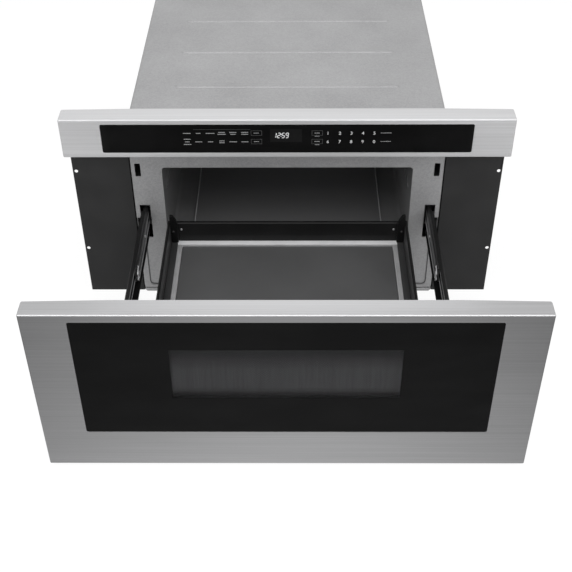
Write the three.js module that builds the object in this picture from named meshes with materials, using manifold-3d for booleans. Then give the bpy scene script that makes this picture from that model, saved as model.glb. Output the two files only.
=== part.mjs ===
// Microwave drawer for a 30-inch opening, in millimetres, +Z up, +Y towards the back of the cabinet.
// The origin is the centre of the base pan's underside. The drawer stands open, at the end of its travel.
// Pieces of the drawer are drawn in their closed place, and their group carries them forward.

import * as THREE from 'three';
import { mergeGeometries, mergeVertices } from 'three/addons/utils/BufferGeometryUtils.js';
import Module from 'manifold-3d';

const wasm = await Module();
wasm.setup();

// ---------------------------------------------------------------- driving dimensions

// envelope
const frontWidth = 760;
const overallHeight = 402;
const fasciaHeight = 73.7;
const fasciaDepth = 36.6;
const revealGap = 4;
const toeClearance = 5.1;
const drawerFrontDepth = 33;
const drawerTravel = 396.9;
const chassisWidth = 548.4;
const chassisDrop = 30;
const chassisDepth = 557.4;

// sheet metal and clearances
const sheet = 1.2;
const seat = 0.3;
const skinSheet = 1.2;
const skinBend = 2.2;
const panelSheet = 1.2;

// control fascia
const controlGlassWidth = 622;
const controlGlassSill = 9.8;
const controlGlassHead = 9.6;
const glassThickness = 4;
const glassCorner = 3;
const glassGap = 0.4;
const rearCornerCut = 5.3;
const harnessLift = 12.7;
const harnessWidth = 80;
const harnessHeight = 20;

// drawer front
const doorGlassWidth = 622;
const doorGlassBottom = 81.2;
const doorGlassHead = 14.5;
const windowWidth = 342;
const windowSill = 69.8;
const windowHead = 61.8;

// mouth of the oven and front plate
const mouthWidth = 441.2;
const mouthBottom = 98;
const mouthDrop = 40.6;
const mouthCorner = 5;
const plateBottom = 10.3;
const plateCorner = 6;
const wingSpan = 754;
const wingBottom = 3;
const wingReturn = 26;
const wingHoleRadius = 3.2;
const wingHoleInset = 6;
const wingHoleHeights = [105.2, 276.2];

// oven cavity
const cavityDepth = 422;
const cavityFillet = 8;
const wellWidth = 320;
const wellDepth = 300;
const wellDrop = 28;
const floorPlateWidth = 358;
const floorPlateThickness = 4;

// drawer box and tray
const boxWidth = 434;
const boxLength = 392.6;
const boxBottom = 112;
const rimHeight = 173.5;
const rimThickness = 4.2;
const rearRimThickness = 7;
const ledgeHeight = 133;
const ledgeWidth = 12.3;
const trimWidth = 8.3;
const rearTrimWidth = 12;
const trayThickness = 5;
const capRise = 20;
const capThickness = 6;

// telescopic slides: every x is the distance from the centre plane
const slideCentreHeight = 178.5;
const armOuter = 264;
const armBottom = 150;
const armHeight = 45;
const armSheet = 1.5;
const armTopReach = 7.5;
const armBottomReach = 13;
const slideSheet = 1.2;
const drawerMemberHeight = 19;
const drawerMemberReach = 4;
const middleMemberInner = 252.9;
const middleMemberHeight = 29;
const middleMemberReach = 7.6;
const cabinetMemberInner = 247.9;
const cabinetMemberHeight = 41;
const cabinetMemberReach = 10;
const middleMemberSetback = 29.9;
const middleMemberLength = 400;
const cabinetMemberLength = 447;
const cageSheet = 0.8;
const cageLength = 154;
const outerCageReach = 5.7;
const outerCageSetback = 29;
const innerCageReach = 5.2;
const innerCageSetback = 96;
const ballsPerRow = 4;
const slotInner = 247.5;
const slotOuter = 266.6;
const slotBottom = 130.5;
const slotTop = 203.4;
const slotNotchTop = 175;

// latches
const latchCentre = 262.8;
const latchSlotWidth = 10;
const latchSlotHeight = 27;
const latchSlotRise = 86.5;
const hookLength = 38;
const hookThickness = 2.6;
const hookHeight = 20;

// drive: rack under the drawer, pinion on a geared motor
const toothModule = 2;
const pinionTeeth = 14;
const gearWidth = 10;
const rackCentre = 202;
const rackPitchHeight = 50;
const rackBar = 9;
const rackLength = 452;
const pinionSetback = 38;
const pressureAngle = 20 * Math.PI / 180;
const backlash = 0.5;
const shaftRadius = 3;

// microwave feed
const guideWidth = 82.4;
const guideHeight = 27.5;
const guideTopGap = 1.5;
const guideRear = 250;
const antennaRadius = 104;
const antennaSheet = 2;
const antennaShaftRadius = 4;

// ---------------------------------------------------------------- derived planes

const plateFace = -chassisDepth / 2;
const plateBack = plateFace + sheet;
const chassisRear = chassisDepth / 2;
const chassisSide = chassisWidth / 2;
const fasciaFace = plateFace - fasciaDepth;
const chassisHeight = overallHeight - chassisDrop;
const fasciaBottom = overallHeight - fasciaHeight;
const controlGlassBottom = fasciaBottom + controlGlassSill;
const controlGlassHeight = fasciaHeight - controlGlassSill - controlGlassHead;
const drawerTop = fasciaBottom - revealGap;
const drawerBottom = toeClearance;
const drawerBack = fasciaFace + drawerFrontDepth;
const doorGlassHeight = drawerTop - doorGlassHead - doorGlassBottom;
const windowBottom = doorGlassBottom + windowSill;
const windowHeight = doorGlassHeight - windowSill - windowHead;
const mouthTop = drawerTop - mouthDrop;
const latchSlotBottom = slideCentreHeight + latchSlotRise;
const latchSlotTop = latchSlotBottom + latchSlotHeight;
const insideSide = chassisSide - sheet - seat;
const boxFront = drawerBack + seat;
const boxRear = boxFront + boxLength;
const cavityFront = plateBack + seat;
const cavityRear = cavityFront + cavityDepth;
const mouthHalf = mouthWidth / 2;
const wellCentre = (cavityFront + cavityRear) / 2 - 10;
const wellFloor = mouthBottom - wellDrop;

// ---------------------------------------------------------------- solids from three.js geometry

function toSolid(geometry) {
  const bare = geometry.clone();
  bare.deleteAttribute('normal');
  bare.deleteAttribute('uv');
  const merged = mergeVertices(bare, 1e-4);
  const vertProperties = new Float32Array(merged.attributes.position.array);
  const triVerts = new Uint32Array(merged.index.array);
  return new wasm.Manifold(new wasm.Mesh({ numProp: 3, vertProperties, triVerts }));
}

function toGeometry(solid) {
  const mesh = solid.getMesh();
  const geometry = new THREE.BufferGeometry();
  geometry.setAttribute('position', new THREE.BufferAttribute(new Float32Array(mesh.vertProperties), 3));
  geometry.setIndex(new THREE.BufferAttribute(new Uint32Array(mesh.triVerts), 1));
  geometry.computeVertexNormals();
  return geometry;
}

// a block between two corners, whichever order each pair comes in
function block([xa, xb], [ya, yb], [za, zb]) {
  const geometry = new THREE.BoxGeometry(Math.abs(xb - xa), Math.abs(yb - ya), Math.abs(zb - za));
  geometry.translate((xa + xb) / 2, (ya + yb) / 2, (za + zb) / 2);
  return toSolid(geometry);
}

// Matrices that lay an outline's plane square to an axis, with the extrusion running along it.
const layAcross = {
  x: new THREE.Matrix4().set(0, 0, 1, 0, 1, 0, 0, 0, 0, 1, 0, 0, 0, 0, 0, 1),
  y: new THREE.Matrix4().set(1, 0, 0, 0, 0, 0, -1, 0, 0, 1, 0, 0, 0, 0, 0, 1),
  z: new THREE.Matrix4(),
};

// An outline in (y, z), (x, z) or (x, y), extruded from one place to another along the axis it leaves out.
function prism(shape, axis, [from, to], curveSegments = 6) {
  const low = Math.min(from, to);
  const depth = Math.abs(to - from);
  const geometry = new THREE.ExtrudeGeometry(shape, { depth, bevelEnabled: false, curveSegments });
  geometry.applyMatrix4(layAcross[axis]);
  const shift = { x: [low, 0, 0], y: [0, low + depth, 0], z: [0, 0, low] }[axis];
  geometry.translate(...shift);
  return toSolid(geometry);
}

function outline(points) {
  return new THREE.Shape(points.map(([a, b]) => new THREE.Vector2(a, b)));
}

function circle(a, b, radius) {
  const shape = new THREE.Shape();
  shape.absarc(a, b, radius, 0, Math.PI * 2, false);
  return shape;
}

function roundedRect([a0, a1], [b0, b1], radius) {
  const shape = new THREE.Shape();
  shape.moveTo(a0 + radius, b0);
  shape.lineTo(a1 - radius, b0);
  shape.absarc(a1 - radius, b0 + radius, radius, -Math.PI / 2, 0, false);
  shape.lineTo(a1, b1 - radius);
  shape.absarc(a1 - radius, b1 - radius, radius, 0, Math.PI / 2, false);
  shape.lineTo(a0 + radius, b1);
  shape.absarc(a0 + radius, b1 - radius, radius, Math.PI / 2, Math.PI, false);
  shape.lineTo(a0, b0 + radius);
  shape.absarc(a0 + radius, b0 + radius, radius, Math.PI, Math.PI * 1.5, false);
  return shape;
}

// The outline of a folded sheet: a line of points is its outer face, the sheet lies to the left of the line,
// and every inner point is a bend whose outer radius is given.
function foldedOutline(points, thickness, bend, steps = 3) {
  const outer = [];
  const inner = [];
  points.forEach(([a, b], index) => {
    const here = new THREE.Vector2(a, b);
    const before = index > 0 ? new THREE.Vector2(...points[index - 1]) : null;
    const after = index < points.length - 1 ? new THREE.Vector2(...points[index + 1]) : null;
    const run = (after ?? here).clone().sub(after ? here : before).normalize();
    const left = new THREE.Vector2(-run.y, run.x);
    if (!before || !after) {
      outer.push(here);
      inner.push(here.clone().addScaledVector(left, thickness));
      return;
    }
    const arrive = here.clone().sub(before).normalize();
    const turn = arrive.cross(run);
    const turnsLeft = turn > 0;
    const outerRadius = turnsLeft ? bend : Math.max(bend - thickness, 0.3);
    const innerRadius = turnsLeft ? Math.max(bend - thickness, 0.3) : bend;
    const fromNormal = Math.atan2(arrive.x, -arrive.y);
    const sweep = Math.atan2(turn, arrive.dot(run));
    const reach = bend * Math.tan(Math.abs(sweep) / 2);
    const side = turnsLeft ? 1 : -1;
    const shift = turnsLeft ? 0 : thickness * Math.tan(Math.abs(sweep) / 2);
    const start = here.clone().addScaledVector(arrive, -(reach - shift));
    const arriveLeft = new THREE.Vector2(-arrive.y, arrive.x);
    const toCentre = turnsLeft ? bend : bend - thickness;
    const centre = start.clone().addScaledVector(arriveLeft, side * toCentre);
    for (let step = 0; step <= steps; step += 1) {
      const angle = fromNormal + Math.PI + (sweep * step) / steps;
      const spoke = new THREE.Vector2(Math.cos(angle), Math.sin(angle)).multiplyScalar(side);
      outer.push(centre.clone().addScaledVector(spoke, outerRadius));
      inner.push(centre.clone().addScaledVector(spoke, innerRadius));
    }
  });
  return new THREE.Shape([...outer, ...inner.reverse()]);
}

const joined = (solids) => solids.reduce((whole, next) => whole.add(next));
const cutFrom = (solid, cutters) => cutters.reduce((left, cutter) => left.subtract(cutter), solid);

// ---------------------------------------------------------------- materials

const finish = (color, roughness, metalness) => new THREE.MeshStandardMaterial({ color, roughness, metalness });
const finishes = {
  stainless: () => finish(0xb4b4b2, 0.34, 1),
  zinc: () => finish(0xa6a8a9, 0.45, 1),
  blackSteel: () => finish(0x26272a, 0.6, 0.2),
  enamel: () => finish(0x3a3b3d, 0.5, 0.1),
  blackGlass: () => finish(0x0b0b0d, 0.08, 0),
  clearGlass: () => finish(0x8d9396, 0.1, 0),
  greyGlass: () => finish(0x55585a, 0.2, 0),
  blackPlastic: () => finish(0x1c1c1e, 0.55, 0),
  slideSteel: () => finish(0x2f3033, 0.4, 0.8),
  brightSteel: () => finish(0xc9cacb, 0.25, 1),
  copper: () => finish(0x9a5a34, 0.4, 0.9),
  board: () => finish(0x1f5a3a, 0.6, 0),
  cream: () => finish(0xd9d6c8, 0.6, 0),
};

// ---------------------------------------------------------------- groups

const group = new THREE.Group();
const drawer = new THREE.Group();
drawer.position.y = -drawerTravel;
group.add(drawer);

function piece(name, solid, material, parent = group) {
  const mesh = new THREE.Mesh(toGeometry(solid), material);
  mesh.name = name;
  parent.add(mesh);
}

const sides = [['left', -1], ['right', 1]];

// ---------------------------------------------------------------- folded fronts

// A shallow pan of folded sheet, open at the back, with round folds along all four front edges.
function foldedPan([xa, xb], [ya, yb], [za, zb], thickness, bend) {
  const shellOf = (inset) => {
    const radius = Math.max(bend - inset, 0.4);
    const front = ya + inset;
    const rear = yb + (inset > 0 ? 1 : 0);
    const plan = new THREE.Shape();
    plan.moveTo(xa + inset, rear);
    plan.lineTo(xa + inset, front + radius);
    plan.absarc(xa + inset + radius, front + radius, radius, Math.PI, Math.PI * 1.5, false);
    plan.lineTo(xb - inset - radius, front);
    plan.absarc(xb - inset - radius, front + radius, radius, -Math.PI / 2, 0, false);
    plan.lineTo(xb - inset, rear);
    const section = new THREE.Shape();
    section.moveTo(rear, zb - inset);
    section.lineTo(front + radius, zb - inset);
    section.absarc(front + radius, zb - inset - radius, radius, Math.PI / 2, Math.PI, false);
    section.lineTo(front, za + inset + radius);
    section.absarc(front + radius, za + inset + radius, radius, Math.PI, Math.PI * 1.5, false);
    section.lineTo(rear, za + inset);
    const across = prism(plan, 'z', [za + inset, zb - inset], 4);
    return across.intersect(prism(section, 'x', [xa + inset, xb - inset], 4));
  };
  return shellOf(0).subtract(shellOf(thickness));
}

// The rear corners of a front's top and bottom returns are cut off at a slant.
function cornerCuts(backPlane, bottom, top) {
  return sides.map(([, side]) => {
    const edge = side * frontWidth / 2;
    const corner = outline([
      [edge - side * rearCornerCut, backPlane + 1],
      [edge - side * rearCornerCut, backPlane],
      [edge, backPlane - rearCornerCut],
      [edge + side, backPlane - rearCornerCut],
      [edge + side, backPlane + 1],
    ]);
    return prism(corner, 'z', [bottom - 1, top + 1]);
  });
}

function glassOpening(width, bottom, height, yRange) {
  const half = width / 2 + glassGap;
  const shape = roundedRect([-half, half], [bottom - glassGap, bottom + height + glassGap], glassCorner);
  return prism(shape, 'y', yRange, 4);
}

function glassPane(width, bottom, height, front) {
  const shape = roundedRect([-width / 2, width / 2], [bottom, bottom + height], glassCorner);
  return prism(shape, 'y', [front, front + glassThickness], 4);
}

// ---------------------------------------------------------------- control fascia

const fasciaBack = plateFace - seat;
const halfFront = frontWidth / 2;

const fasciaPan = foldedPan(
  [-halfFront, halfFront], [fasciaFace, fasciaBack], [fasciaBottom, overallHeight], skinSheet, skinBend);
piece('fascia_skin', cutFrom(fasciaPan, [
  ...cornerCuts(fasciaBack, fasciaBottom, overallHeight),
  glassOpening(controlGlassWidth, controlGlassBottom, controlGlassHeight, [fasciaFace - 1, fasciaFace + 5]),
]), finishes.stainless());

piece('control_glass',
  glassPane(controlGlassWidth, controlGlassBottom, controlGlassHeight, fasciaFace), finishes.blackGlass());

// The carrier is a moulded tray behind the glass: its flange backs the glass edge and its ribs hold the board.
const carrierFront = fasciaFace + glassThickness + seat;
const carrierDepth = 16;
const carrierHalf = controlGlassWidth / 2 + 6;
const carrierBottom = controlGlassBottom - 5;
const carrierTop = controlGlassBottom + controlGlassHeight + 5;
const carrierWall = 2.5;
const boardHalf = 150;
const boardThickness = 1.6;
const boardFront = carrierFront + carrierDepth + seat;
const displayHalf = 34;
const displayLow = controlGlassBottom + 16;
const displayHigh = controlGlassBottom + controlGlassHeight - 4.3;
const carrierBody = block([-carrierHalf, carrierHalf], [carrierFront, carrierFront + carrierDepth],
  [carrierBottom, carrierTop]);
const carrierHollow = block([-carrierHalf + carrierWall, carrierHalf - carrierWall],
  [carrierFront + carrierWall, carrierFront + carrierDepth + 1],
  [carrierBottom + carrierWall, carrierTop - carrierWall]);
const displayWindow = block([-displayHalf, displayHalf], [carrierFront - 1, carrierFront + carrierWall + 1],
  [displayLow, displayHigh]);
const carrierRibs = [-boardHalf + 10, -60, 60, boardHalf - 10].map((x) => block(
  [x - 1, x + 1], [carrierFront + 1, carrierFront + carrierDepth], [carrierBottom + 1, carrierTop - 1]));
piece('control_carrier',
  joined([carrierBody.subtract(carrierHollow).subtract(displayWindow), ...carrierRibs]),
  finishes.blackPlastic());

const boardOutline = roundedRect([-boardHalf, boardHalf], [carrierBottom + 1, carrierTop - 1], 3);
piece('control_board', prism(boardOutline, 'y', [boardFront, boardFront + boardThickness], 3), finishes.board());

piece('display_module', block([-displayHalf + 2, displayHalf - 2],
  [carrierFront + carrierWall + seat, boardFront - seat],
  [displayLow + 1, displayHigh - 1]), finishes.blackPlastic());

// The back cover closes the fascia behind the board and is screwed to the front plate.
const coverInset = skinSheet + seat;
const coverPan = foldedPan([-halfFront + coverInset + rearCornerCut, halfFront - coverInset - rearCornerCut],
  [-fasciaBack, -fasciaBack + 12], [fasciaBottom + coverInset, overallHeight - coverInset], panelSheet, skinBend);
const backCover = toSolid(toGeometry(coverPan).rotateZ(Math.PI));
const harnessOutline = roundedRect([-harnessWidth / 2, harnessWidth / 2],
  [fasciaBottom + harnessLift, fasciaBottom + harnessLift + harnessHeight], 4);
const harnessHole = prism(harnessOutline, 'y', [fasciaBack - 5, fasciaBack + 1], 3);
piece('fascia_back_cover', backCover.subtract(harnessHole), finishes.zinc());

// ---------------------------------------------------------------- front plate and mounting wings

const plateTop = chassisHeight - sheet;
const plateOutline = roundedRect([-chassisSide, chassisSide], [plateBottom, plateTop], plateCorner);
const mouth = roundedRect([-mouthHalf, mouthHalf], [mouthBottom, mouthTop], mouthCorner);
const throughPlate = [plateFace - 1, plateBack + 1];
const rackSlotHalf = gearWidth / 2 + 4;
const rackSlot = roundedRect([rackCentre - rackSlotHalf, rackCentre + rackSlotHalf],
  [rackPitchHeight - 8, rackPitchHeight + rackBar + 6], 2);
const plateCuts = [prism(mouth, 'y', throughPlate, 4), prism(rackSlot, 'y', throughPlate, 2)];
const borderInset = 12;
const borderBottomInset = 5.6;
const borderRise = 0.9;
const borderTop = slotBottom - 4;
const borders = [];
for (const [, side] of sides) {
  const slot = roundedRect([slotInner, slotOuter].map((x) => side * x).sort((a, b) => a - b),
    [slotBottom, slotTop], 1.5);
  plateCuts.push(prism(slot, 'y', throughPlate, 2));
  plateCuts.push(block([side * (slotOuter - 1), side * (chassisSide + 1)], throughPlate,
    [slotBottom, slotNotchTop]));
  const latch = roundedRect([latchCentre - latchSlotWidth / 2, latchCentre + latchSlotWidth / 2]
    .map((x) => side * x).sort((a, b) => a - b), [latchSlotBottom, latchSlotTop], 1.5);
  plateCuts.push(prism(latch, 'y', throughPlate, 2));
  // the lower outer corner is pressed forward into a raised border
  const border = new THREE.Shape();
  const outerX = side * chassisSide;
  const innerX = side * (chassisSide - borderInset);
  const endX = side * (chassisSide - 40);
  const low = plateBottom + borderBottomInset;
  border.moveTo(outerX, borderTop);
  border.lineTo(innerX, borderTop);
  border.lineTo(innerX, low + plateCorner);
  border.quadraticCurveTo(innerX, low, innerX - side * plateCorner, low);
  border.lineTo(endX, low);
  border.lineTo(endX, plateBottom);
  border.lineTo(outerX - side * plateCorner, plateBottom);
  border.quadraticCurveTo(outerX, plateBottom, outerX, plateBottom + plateCorner);
  borders.push(prism(border, 'y', [plateFace - borderRise, plateFace + sheet / 2], 4));
}
const harnessPort = prism(harnessOutline, 'y', throughPlate, 3);
piece('front_plate',
  cutFrom(joined([prism(plateOutline, 'y', [plateFace, plateBack], 4), ...borders]),
    [...plateCuts, harnessPort]), finishes.zinc());

// Each wing is an angle: its return lies along the cover's side and its face against the cabinet's front.
for (const [name, side] of sides) {
  const innerX = side * (chassisSide + seat);
  const face = foldedOutline(side > 0
    ? [[innerX, plateFace + wingReturn], [innerX, plateFace], [wingSpan / 2, plateFace]]
    : [[-wingSpan / 2, plateFace], [innerX, plateFace], [innerX, plateFace + wingReturn]],
  sheet, skinBend);
  const wing = prism(face, 'z', [wingBottom, plateTop]);
  const holes = wingHoleHeights.map((height) => prism(
    circle(side * (wingSpan / 2 - wingHoleInset), height, wingHoleRadius), 'y', throughPlate, 8));
  piece(`wing_${name}`, cutFrom(wing, holes), finishes.blackSteel());
}

// ---------------------------------------------------------------- casing

const coverFront = plateBack + seat;
const coverRear = chassisRear;
const coverLift = 0.5;
const coverOutline = foldedOutline([
  [chassisSide, coverLift], [chassisSide, chassisHeight], [-chassisSide, chassisHeight], [-chassisSide, coverLift],
], sheet, 4);
const topBead = (y) => prism(roundedRect([-200, 200], [y - 5, y + 5], 5), 'z',
  [chassisHeight - 0.4, chassisHeight + 1], 5);
piece('outer_cover', cutFrom(prism(coverOutline, 'y', [coverFront, coverRear]),
  [-150, -20, 110].map(topBead)), finishes.zinc());

const panSide = insideSide;
const panRear = chassisRear - sheet - seat;
const panFlange = 14;
const panOutline = foldedOutline([
  [-panSide, panFlange], [-panSide, 0], [panSide, 0], [panSide, panFlange],
], sheet, 2.5);
function ventSlot(x, y, length, width, axis, range) {
  const shape = new THREE.Shape();
  const reach = (length - width) / 2;
  shape.absarc(x + reach, y, width / 2, -Math.PI / 2, Math.PI / 2, false);
  shape.absarc(x - reach, y, width / 2, Math.PI / 2, Math.PI * 1.5, false);
  return prism(shape, axis, range, 2);
}
const panVentLength = 64;
const panVentWidth = 6;
const panVentPitch = 13;
const panLipHeight = 24;
const panVents = [];
for (let row = 0; row < 6; row += 1) {
  const y = chassisRear - 108.7 + row * panVentPitch;
  panVents.push(ventSlot(-170, y, panVentLength, panVentWidth, 'z', [-1, sheet + 1]));
  panVents.push(ventSlot(-90, y, panVentLength, panVentWidth, 'z', [-1, sheet + 1]));
}
const panLip = block([-panSide + 3, panSide - 3], [coverFront, coverFront + sheet], [0.4, panLipHeight]);
piece('base_pan', cutFrom(joined([prism(panOutline, 'y', [coverFront, panRear]), panLip]), panVents),
  finishes.zinc());

const glandX = -215;
const glandHeight = 48;
const glandBarrel = 8;
const fanX = -150;
const fanHeight = 255;
const fanRadius = 50;
const backThickness = sheet;
const backFront = chassisRear - backThickness;
const backPlate = prism(roundedRect([-panSide, panSide], [coverLift, chassisHeight - sheet - seat], 3), 'y',
  [backFront, chassisRear], 3);
const backLip = (low, high) => block([-panSide + 4, panSide - 4], [backFront - 12, backFront + 0.5], [low, high]);
const backVents = [];
for (let row = 0; row < 7; row += 1) {
  backVents.push(ventSlot(fanX, fanHeight - 42 + row * 14, 92, 7, 'y', [backFront - 1, chassisRear + 1]));
  backVents.push(ventSlot(150, fanHeight - 42 + row * 14, 92, 7, 'y', [backFront - 1, chassisRear + 1]));
}
backVents.push(prism(circle(glandX, glandHeight, glandBarrel + seat), 'y', [backFront - 1, chassisRear + 1], 10));
const backTop = chassisHeight - sheet - seat;
piece('back_panel', cutFrom(joined([backPlate, backLip(backTop - sheet, backTop)]), backVents), finishes.zinc());

// The gland is a bush snapped into the back panel, where the mains lead would pass.
const glandProfile = [
  [5, -9], [glandBarrel + 2, -9], [glandBarrel + 2, -backThickness - seat], [glandBarrel, -backThickness - seat],
  [glandBarrel, seat], [glandBarrel + 4, seat], [glandBarrel + 3, 3.5], [5, 3.5], [5, -9],
].map(([radius, along]) => new THREE.Vector2(radius, along));
const glandGeometry = new THREE.LatheGeometry(glandProfile, 20);
piece('cord_gland', toSolid(glandGeometry.translate(0, chassisRear, 0)
  .translate(glandX, 0, glandHeight)), finishes.blackPlastic());

// ---------------------------------------------------------------- oven cavity

const cavityOuterHalf = mouthHalf + sheet;
const cavityInside = prism(roundedRect([-mouthHalf, mouthHalf], [mouthBottom, mouthTop], cavityFillet), 'y',
  [cavityFront - 1, cavityRear - sheet], 4);
const cavityOutside = prism(roundedRect([-cavityOuterHalf, cavityOuterHalf],
  [mouthBottom - sheet, mouthTop + sheet], cavityFillet + sheet), 'y', [cavityFront, cavityRear], 4);
const cavityLip = prism(roundedRect([-mouthHalf - 12, mouthHalf + 12], [mouthBottom - 12, mouthTop + 12], 6), 'y',
  [cavityFront, cavityFront + sheet], 4);
const wellTaper = 8;
const wellShape = (inset) => outline([
  [wellCentre - wellDepth / 2 + inset, mouthBottom + (inset > 0 ? 1 : 0)],
  [wellCentre + wellDepth / 2 - inset, mouthBottom + (inset > 0 ? 1 : 0)],
  [wellCentre + wellDepth / 2 - wellTaper - inset, wellFloor + inset],
  [wellCentre - wellDepth / 2 + wellTaper + inset, wellFloor + inset],
]);
const wellOutside = prism(wellShape(0), 'x', [-wellWidth / 2, wellWidth / 2]);
const wellInside = prism(wellShape(sheet), 'x', [-wellWidth / 2 + sheet, wellWidth / 2 - sheet]);
const couplingRadius = 22;
const couplingHole = prism(circle(0, wellCentre, couplingRadius), 'z', [wellFloor - 1, wellFloor + 3], 10);
const beadY = [cavityFront + 45, cavityRear - 40];
const beadLow = slideCentreHeight + 29.5;
const sideBeads = sides.map(([, side]) => prism(
  roundedRect([beadY[0], beadY[1]], [beadLow, beadLow + 6], 2.9), 'x',
  [side * (mouthHalf - 1.6), side * (mouthHalf + 0.4)].sort((a, b) => a - b), 3));
const lampPatchY = [cavityFront + 30, cavityFront + 58];
const lampPatchZ = [beadLow, beadLow + 32];
const lampHoles = [];
for (let column = 0; column < 5; column += 1) {
  for (let row = 0; row < 5; row += 1) {
    const y = lampPatchY[0] + 3 + column * 5.5;
    const z = lampPatchZ[0] + 9 + row * 5.5;
    lampHoles.push(prism(circle(y, z, 1.7), 'x', [-cavityOuterHalf - 1, -mouthHalf + 1], 3));
  }
}
piece('oven_cavity', cutFrom(
  joined([cavityOutside, cavityLip, wellOutside]).subtract(cavityInside).subtract(wellInside),
  [couplingHole, ...lampHoles]).add(sideBeads[0].subtract(lampHoles[0])).add(sideBeads[1]),
finishes.enamel());

// The ceramic floor plate covers the antenna well and its edge shows as a light line on the floor.
const floorPlateLow = mouthBottom + seat;
const floorPlateY = [cavityFront + 22, cavityRear - sheet - 12];
piece('cavity_floor_plate', prism(
  roundedRect([-floorPlateWidth / 2, floorPlateWidth / 2], floorPlateY, 6), 'z',
  [floorPlateLow, floorPlateLow + floorPlateThickness], 3), finishes.blackGlass());

// ---------------------------------------------------------------- microwave feed under and behind the oven

const guideTop = wellFloor - guideTopGap + 1.2;
const guideLow = guideTop - guideHeight;
const guideFront = wellCentre - 46;
const magnetronY = 212;
const guideTube = block([-guideWidth / 2, guideWidth / 2], [guideFront, guideRear], [guideLow, guideTop])
  .subtract(block([-guideWidth / 2 + sheet, guideWidth / 2 - sheet], [guideFront + sheet, guideRear - sheet],
    [guideLow + sheet, guideTop - sheet]));
const domeRadius = 9;
piece('waveguide', cutFrom(guideTube, [
  prism(circle(0, wellCentre, couplingRadius), 'z', [guideTop - 3, guideTop + 1], 10),
  prism(circle(0, wellCentre, antennaShaftRadius + 1), 'z', [guideLow - 1, guideLow + 3], 6),
  prism(circle(0, magnetronY, domeRadius + 2), 'z', [guideTop - 3, guideTop + 1], 8),
]), finishes.brightSteel());

// The magnetron stands on the guide: a steel yoke, cooling fins round the anode and the antenna dome below.
const yokeHalf = 41;
const yokeLow = guideTop + seat;
const yokeHeight = 78;
const yokeSheet = 2;
const yokeDepth = 68;
const yokeY = [magnetronY - yokeDepth / 2, magnetronY + yokeDepth / 2];
const yokeShell = block([-yokeHalf, yokeHalf], yokeY, [yokeLow, yokeLow + yokeHeight])
  .subtract(block([-yokeHalf + yokeSheet, yokeHalf - yokeSheet], [yokeY[0] - 1, yokeY[1] + 1],
    [yokeLow + yokeSheet, yokeLow + yokeHeight - yokeSheet]));
const anode = prism(circle(0, magnetronY, 20), 'z', [yokeLow + 1, yokeLow + yokeHeight - 1], 6);
const finCount = 8;
const fins = Array.from({ length: finCount }, (_, index) => {
  const z = yokeLow + 12 + index * (yokeHeight - 24) / (finCount - 1);
  return block([-yokeHalf + 1, yokeHalf - 1], [yokeY[0] + 4, yokeY[1] - 4], [z - 0.5, z + 0.5]);
});
const dome = prism(circle(0, magnetronY, domeRadius), 'z', [guideTop - 16, yokeLow + 1], 6);
const filterWidth = 44;
const filterDepth = 52;
const filterHeight = 22;
const filterBox = block([-filterWidth / 2, filterWidth / 2],
  [magnetronY - filterDepth / 2, magnetronY + filterDepth / 2],
  [yokeLow + yokeHeight - 1, yokeLow + yokeHeight + filterHeight]);
piece('magnetron', joined([yokeShell, anode, ...fins, dome, filterBox]), finishes.brightSteel());

// The rotating antenna: a hub with four slotted blades just under the floor plate, on a shaft through the guide.
const antennaHeight = wellFloor + 14;
const antenna = new THREE.Group();
antenna.position.set(0, wellCentre, 0);
group.add(antenna);
const blades = Array.from({ length: 4 }, (_, index) => {
  const angle = index * Math.PI / 2 + 0.3;
  const half = 24;
  const shape = outline([[14, -half * 0.5], [antennaRadius - 8, -half], [antennaRadius, 0], [antennaRadius - 8, half],
    [14, half * 0.5]].map(([a, b]) => [a * Math.cos(angle) - b * Math.sin(angle),
    a * Math.sin(angle) + b * Math.cos(angle)]));
  const slot = roundedRect([40, 80], [-5, 5], 4.9).getPoints(3).map(({ x, y }) => new THREE.Vector2(
    x * Math.cos(angle) - y * Math.sin(angle), x * Math.sin(angle) + y * Math.cos(angle)));
  shape.holes.push(new THREE.Path(slot));
  return prism(shape, 'z', [antennaHeight, antennaHeight + antennaSheet]);
});
const motorTop = guideLow - seat;
const antennaShaftLow = motorTop - 6;
piece('rotating_antenna', joined([
  prism(circle(0, 0, 18), 'z', [antennaHeight, antennaHeight + antennaSheet], 5),
  ...blades,
  prism(circle(0, 0, antennaShaftRadius), 'z', [antennaShaftLow, antennaHeight + 6], 4),
]), finishes.brightSteel(), antenna);

const motorCan = prism(circle(0, wellCentre, 25), 'z', [motorTop - 18, motorTop], 6);
const motorEars = prism(roundedRect([-36, 36], [wellCentre - 7, wellCentre + 7], 6.9), 'z', [motorTop - 1.5, motorTop], 3);
const shaftBore = prism(circle(0, wellCentre, antennaShaftRadius + seat), 'z',
  [antennaShaftLow - seat, motorTop + 1], 4);
piece('antenna_motor', motorCan.add(motorEars).subtract(shaftBore), finishes.brightSteel());

// ---------------------------------------------------------------- high-voltage supply

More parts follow.
